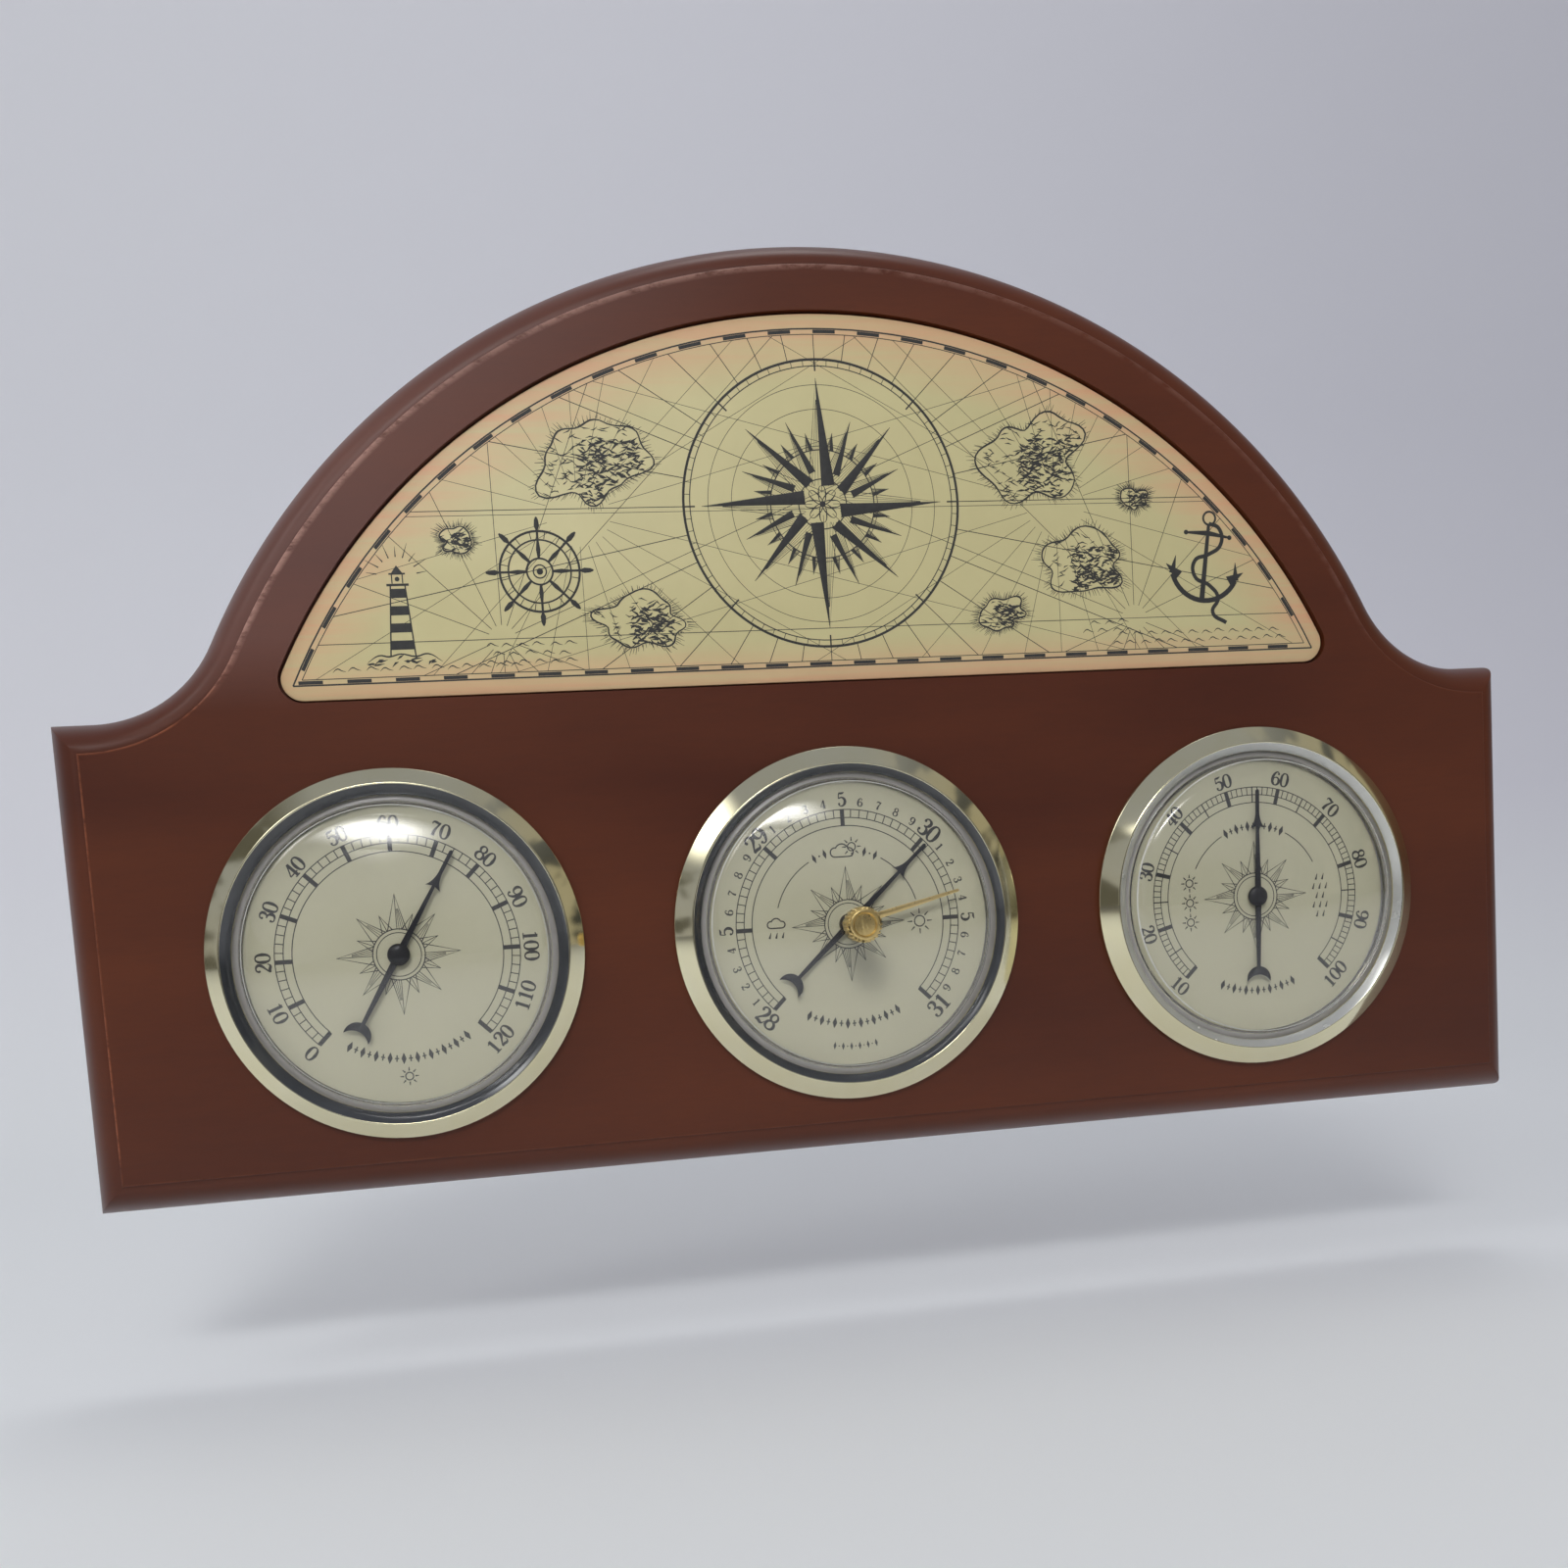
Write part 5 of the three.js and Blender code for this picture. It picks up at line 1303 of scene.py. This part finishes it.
def pointer_blade(front):
    """Half the pointer's outline by arcs and edges, to be mirrored, filled and given its thickness."""
    bm = bmesh.new()
    hollow_centre = moon_centre - moon_radius + moon_thickness + moon_hollow
    apart = hollow_centre - moon_centre
    horn_drop = (apart**2 + moon_radius**2 - moon_hollow**2) / (2 * apart)
    horn_x = math.sqrt(moon_radius**2 - horn_drop**2)
    hollow_turn = math.atan2(horn_x, apart - horn_drop)
    back_turn = math.atan2(-horn_drop, horn_x) - math.acos(neck / moon_radius)
    start = bm.verts.new((0, front, moon_hollow - hollow_centre))
    horn = swing(bm, start, 0, -hollow_centre, hollow_turn, 10)
    vertex = swing(bm, horn, 0, -moon_centre, back_turn, 16)
    shank = [(blade_root, -hub_radius), (blade_root, hub_radius), (blade_end, barb_radius + barb_notch)]
    barb = (barb_half_width, barb_radius)
    flank = bent(barb, (barb_waist, barb_radius + 1.2), (neck, barb_radius + neck_rise), 10)
    tip = [(neck, hand_tip - 0.3), (0.25 * neck, hand_tip), (0, hand_tip)]
    for x, z in [*shank, barb, *flank, *tip]:
        vertex = extend(bm, vertex, x, z)
    return bm


def stamped(bm, front, eased, x, turn):
    """A half outline made into a blade with round front edges."""
    thickened(bm, filled(bm), hand_sheet)
    pressed(bm, front, eased)
    return placed("blade", bm, x, turn)


def merged(name, parts):
    """One mesh from several objects."""
    whole = bmesh.new()
    for part in parts:
        whole.from_mesh(part.data)
        bpy.data.objects.remove(part)
    return mesh_object(name, whole)


black_hand = two_toned("black_hand", 900, (16, 16, 20), (28, 28, 32), 0.34, relief=(0.01, 0.3))
movement_brass = two_toned(
    "movement_brass", 500, (214, 182, 96), (196, 160, 74), (-0.6, 2.6, 0.6), metal, 4.0, relief=(0.01, 0.3)
)
satin_brass = two_toned("satin_brass", 1600, (232, 206, 144), (222, 194, 128), (-2.0, 3.0, 0.58), metal)

dome = [(0, 0), (0.9, 0.03), (1.5, 0.14), (2.0, 0.34), (2.3, 0.62), (hub_radius, 0.9)]
socket = [(hub_radius, hub_height), (arbor_room, hub_height), (arbor_room, 0.4), (0, 0.4)]
cap_profile = [(radius, hub_front + depth) for radius, depth in [*dome, *socket]]
blade_front = hub_back - hand_sheet - seat
for name, x in dial_x.items():
    turn = math.radians(dial_angle(readings[name], *ranges[name]))
    blade = stamped(pointer_blade(blade_front), blade_front, 0.1, x, turn)
    hand = merged(f"{name}_hand", [blade, turned("cap", cap_profile, x, steps=48)])
    fitted(hand, "black_hand", black_hand, f"{name}_pointer")

set_tip = 26.1
set_root = 0.95
set_end = 0.33
set_hub_radius = 2
set_hub_height = 1.2
set_hub_back = hub_front - 0.5
set_hub_front = set_hub_back - set_hub_height
set_shaft = 0.8
set_front = set_hub_back - set_hub_height / 2
set_turn = math.radians(dial_angle(set_reading, *ranges["barometer"]))
set_x = dial_x["barometer"]
bm = bmesh.new()
root = bm.verts.new((0, set_front, 0))
corner = extend(bm, extend(bm, root, set_root, 0), set_end, set_tip - 0.2)
extend(bm, corner, 0, set_tip)
blade = stamped(bm, set_front, 0.08, set_x, set_turn)
bore = set_shaft + seat
face = [(bore, 0), (1.55, 0), (1.85, 0.12), (set_hub_radius, 0.36)]
hub_profile = [(radius, set_hub_front + depth) for radius, depth in face]
hub_profile += [(set_hub_radius, set_hub_back), (bore, set_hub_back)]
set_hand = merged("set_hand_blade", [blade, turned("hub", hub_profile, set_x, steps=48)])
fitted(set_hand, "gold_metal", satin_brass, "barometer_set_hand")

# Set knob. A turned brass knob with a straight knurl and a hollowed face, on the shaft that goes through the
# barometer's lens; it turns the set hand, and a spring washer keeps it in its hole.
knob_radius = 3.9
knob_height = 6.3
knob_neck_radius = 2.4
knob_neck_height = 0.6
knob_rim = 0.6
knob_teeth = 24
tooth_depth = 0.34
recess_radius = 2.6
recess_depth = 0.6
neck_back = lens_front - 0.3
body_back = neck_back - knob_neck_height
knob_face = neck_back - knob_height
knob_side = knob_radius - knob_rim
shaft = [(0, set_hub_back - seat), (set_shaft, set_hub_back - seat), (set_shaft, neck_back)]
shoulder = [(knob_neck_radius, neck_back), (knob_neck_radius, body_back), (knob_radius - 0.9, body_back)]
side = [(knob_side, body_back - 0.25), (knob_side, knob_face + 0.75)]
rim = arc_points(knob_side - 0.32, knob_face + 0.42, -0.42, 180, 90, 6)
recess = [(recess_radius + 0.1, 0), (recess_radius - 0.05, 0.14), (recess_radius - 0.25, recess_depth)]
hollow = [(radius, knob_face + depth) for radius, depth in [*recess, (0, recess_depth + 0.05)]]
core = turned("core", [*shaft, *shoulder, *side, *rim, *hollow], set_x, steps=96, sharp_angle=45)
bm = bmesh.new()
knurl_front = knob_face + knob_rim
bmesh.ops.create_circle(bm, cap_ends=True, radius=knob_radius, segments=8 * knob_teeth, matrix=upright)
for vertex in bm.verts:
    groove = max(0.0, -math.cos(knob_teeth * math.atan2(vertex.co.z, vertex.co.x))) ** 0.7
    vertex.co *= 1 - groove * tooth_depth / knob_radius
bmesh.ops.translate(bm, verts=bm.verts, vec=(0, knurl_front, 0))
thickened(bm, bm.faces[:][0], body_back - 0.5 * knob_rim - knurl_front)
rims = [e for e in bm.edges if e.verts[0].co.y == e.verts[1].co.y]
rounded(bm, rims, 0.22, 3, False)
knurl = placed("knurl", bm, set_x, set_turn, 40)
fitted(merged("knurled_set_knob", [core, knurl]), "gold_metal", satin_brass, "barometer_set_knob")

# Back fittings. The hanger strip is nailed across the top of the back, and two soft pads are stuck near the
# foot, so that the plaque hangs upright and doesn't mark the wall.
pad_round = 1.1
nail_head_radius = 2.2
nail_shank = 0.8
for side in ("left", "right"):
    pad_solid = f"wall_bumper_{side}"
    low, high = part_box(pad_solid)
    radius = (high.x - low.x) / 2 / mm
    front, back = depths(pad_solid)
    edge = arc_points(radius - pad_round, back - pad_round, pad_round, 0, 82, 8)
    sole = [(radius - 1.5, back - 0.02), (radius - 1.7, back), (0, back)]
    profile = [(0, front), (radius - 0.2, front), (radius, front + 0.2), *edge, *sole]
    pad = turned(f"soft_pad_{side}", profile, *centre_of(pad_solid), 64)
    fitted(pad, "black_rubber", black_rubber, pad_solid)

    nail_solid = f"hanger_nail_{side}"
    front, back = depths(nail_solid)
    shank = [(0, front), (nail_shank, front + 1.2), (nail_shank, back - 0.8)]
    rim = [(nail_head_radius, back - 0.8), (nail_head_radius, back - 0.5)]
    head = [(nail_head_radius - 0.4, back - 0.12), (nail_head_radius - 1.1, back), (0, back)]
    nail = turned(f"nail_{side}", [*shank, *rim, *head], *centre_of(nail_solid), 40)
    fitted(nail, "bright_steel", bright_steel, nail_solid)

# Chain. A fine chain of riveted steel links draws the barometer's drum round. Its straight run ends at the
# tip of the rocker's blade, and its last links lie round the drum.
chain_low, chain_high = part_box("barometer_chain")
chain_front, chain_back = depths("barometer_chain")
chain_middle = (chain_front + chain_back) / 2
chain_width = chain_back - chain_front
chain_run = -chain_low.x / mm - chain_width / 2
wrap_radius = (chain_high.z - dial_line) / mm - chain_width / 2
link_pitch = 0.55
link_half = 0.17
link_sheet = 0.1
rivet_radius = 0.08


def along_chain(reach):
    """The place of a rivet, so far along the chain from the rocker's blade."""
    if reach < chain_run:
        return reach - chain_run, wrap_radius
    angle = (reach - chain_run) / wrap_radius
    return wrap_radius * math.sin(angle), wrap_radius * math.cos(angle)


def plate(bm, first, second, radius, depth, thickness):
    """An oval plate round two rivets, or a rivet where both are one."""
    disc = bmesh.ops.create_cone(
        bm, cap_ends=True, segments=12, radius1=radius, radius2=radius, depth=thickness
    )["verts"]
    half = math.dist(first, second) / 2
    for vertex in disc:
        vertex.co.x += math.copysign(half, vertex.co.x) if abs(vertex.co.x) > radius / 10 else 0
    slope = math.atan2(second[1] - first[1], second[0] - first[0])
    centre = Matrix.Translation(((first[0] + second[0]) / 2, depth, (first[1] + second[1]) / 2))
    bmesh.ops.transform(bm, matrix=centre @ Matrix.Rotation(-slope, 4, "Y") @ upright, verts=disc)


bm = bmesh.new()
count = int((chain_run + math.pi * wrap_radius) / link_pitch)
rivets = [along_chain(step * link_pitch + link_half) for step in range(count)]
cheek = (chain_width - link_sheet) / 2
for number, (first, second) in enumerate(zip(rivets, rivets[1:])):
    for depth in (-cheek, cheek) if number % 2 else (0,):
        plate(bm, first, second, link_half, chain_middle + depth, link_sheet)
for rivet in rivets:
    plate(bm, rivet, rivet, rivet_radius, chain_middle, chain_width)
chain = placed("drum_chain", bm)
chain.data.materials.append(bright_steel)
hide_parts("barometer_chain")
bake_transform(chain)

# Movements. The brass plates, bushes, coils and pillars and the steel arbors, levers and capsule work behind
# the dials and under the lens; they keep the solids that the joints turn, and get their metal's finish.
finishes = {
    "bright_steel": bright_steel,
    "movement_brass": movement_brass,
    "black_rubber": black_rubber,
    "gold_metal": gold_plate,
}
for subpart in frame["record"]["subparts"]:
    solid = frame["nodes"][subpart["node"]]
    if not solid.hide_render:
        solid.material_slots[0].material = finishes[subpart["material_slot"]]
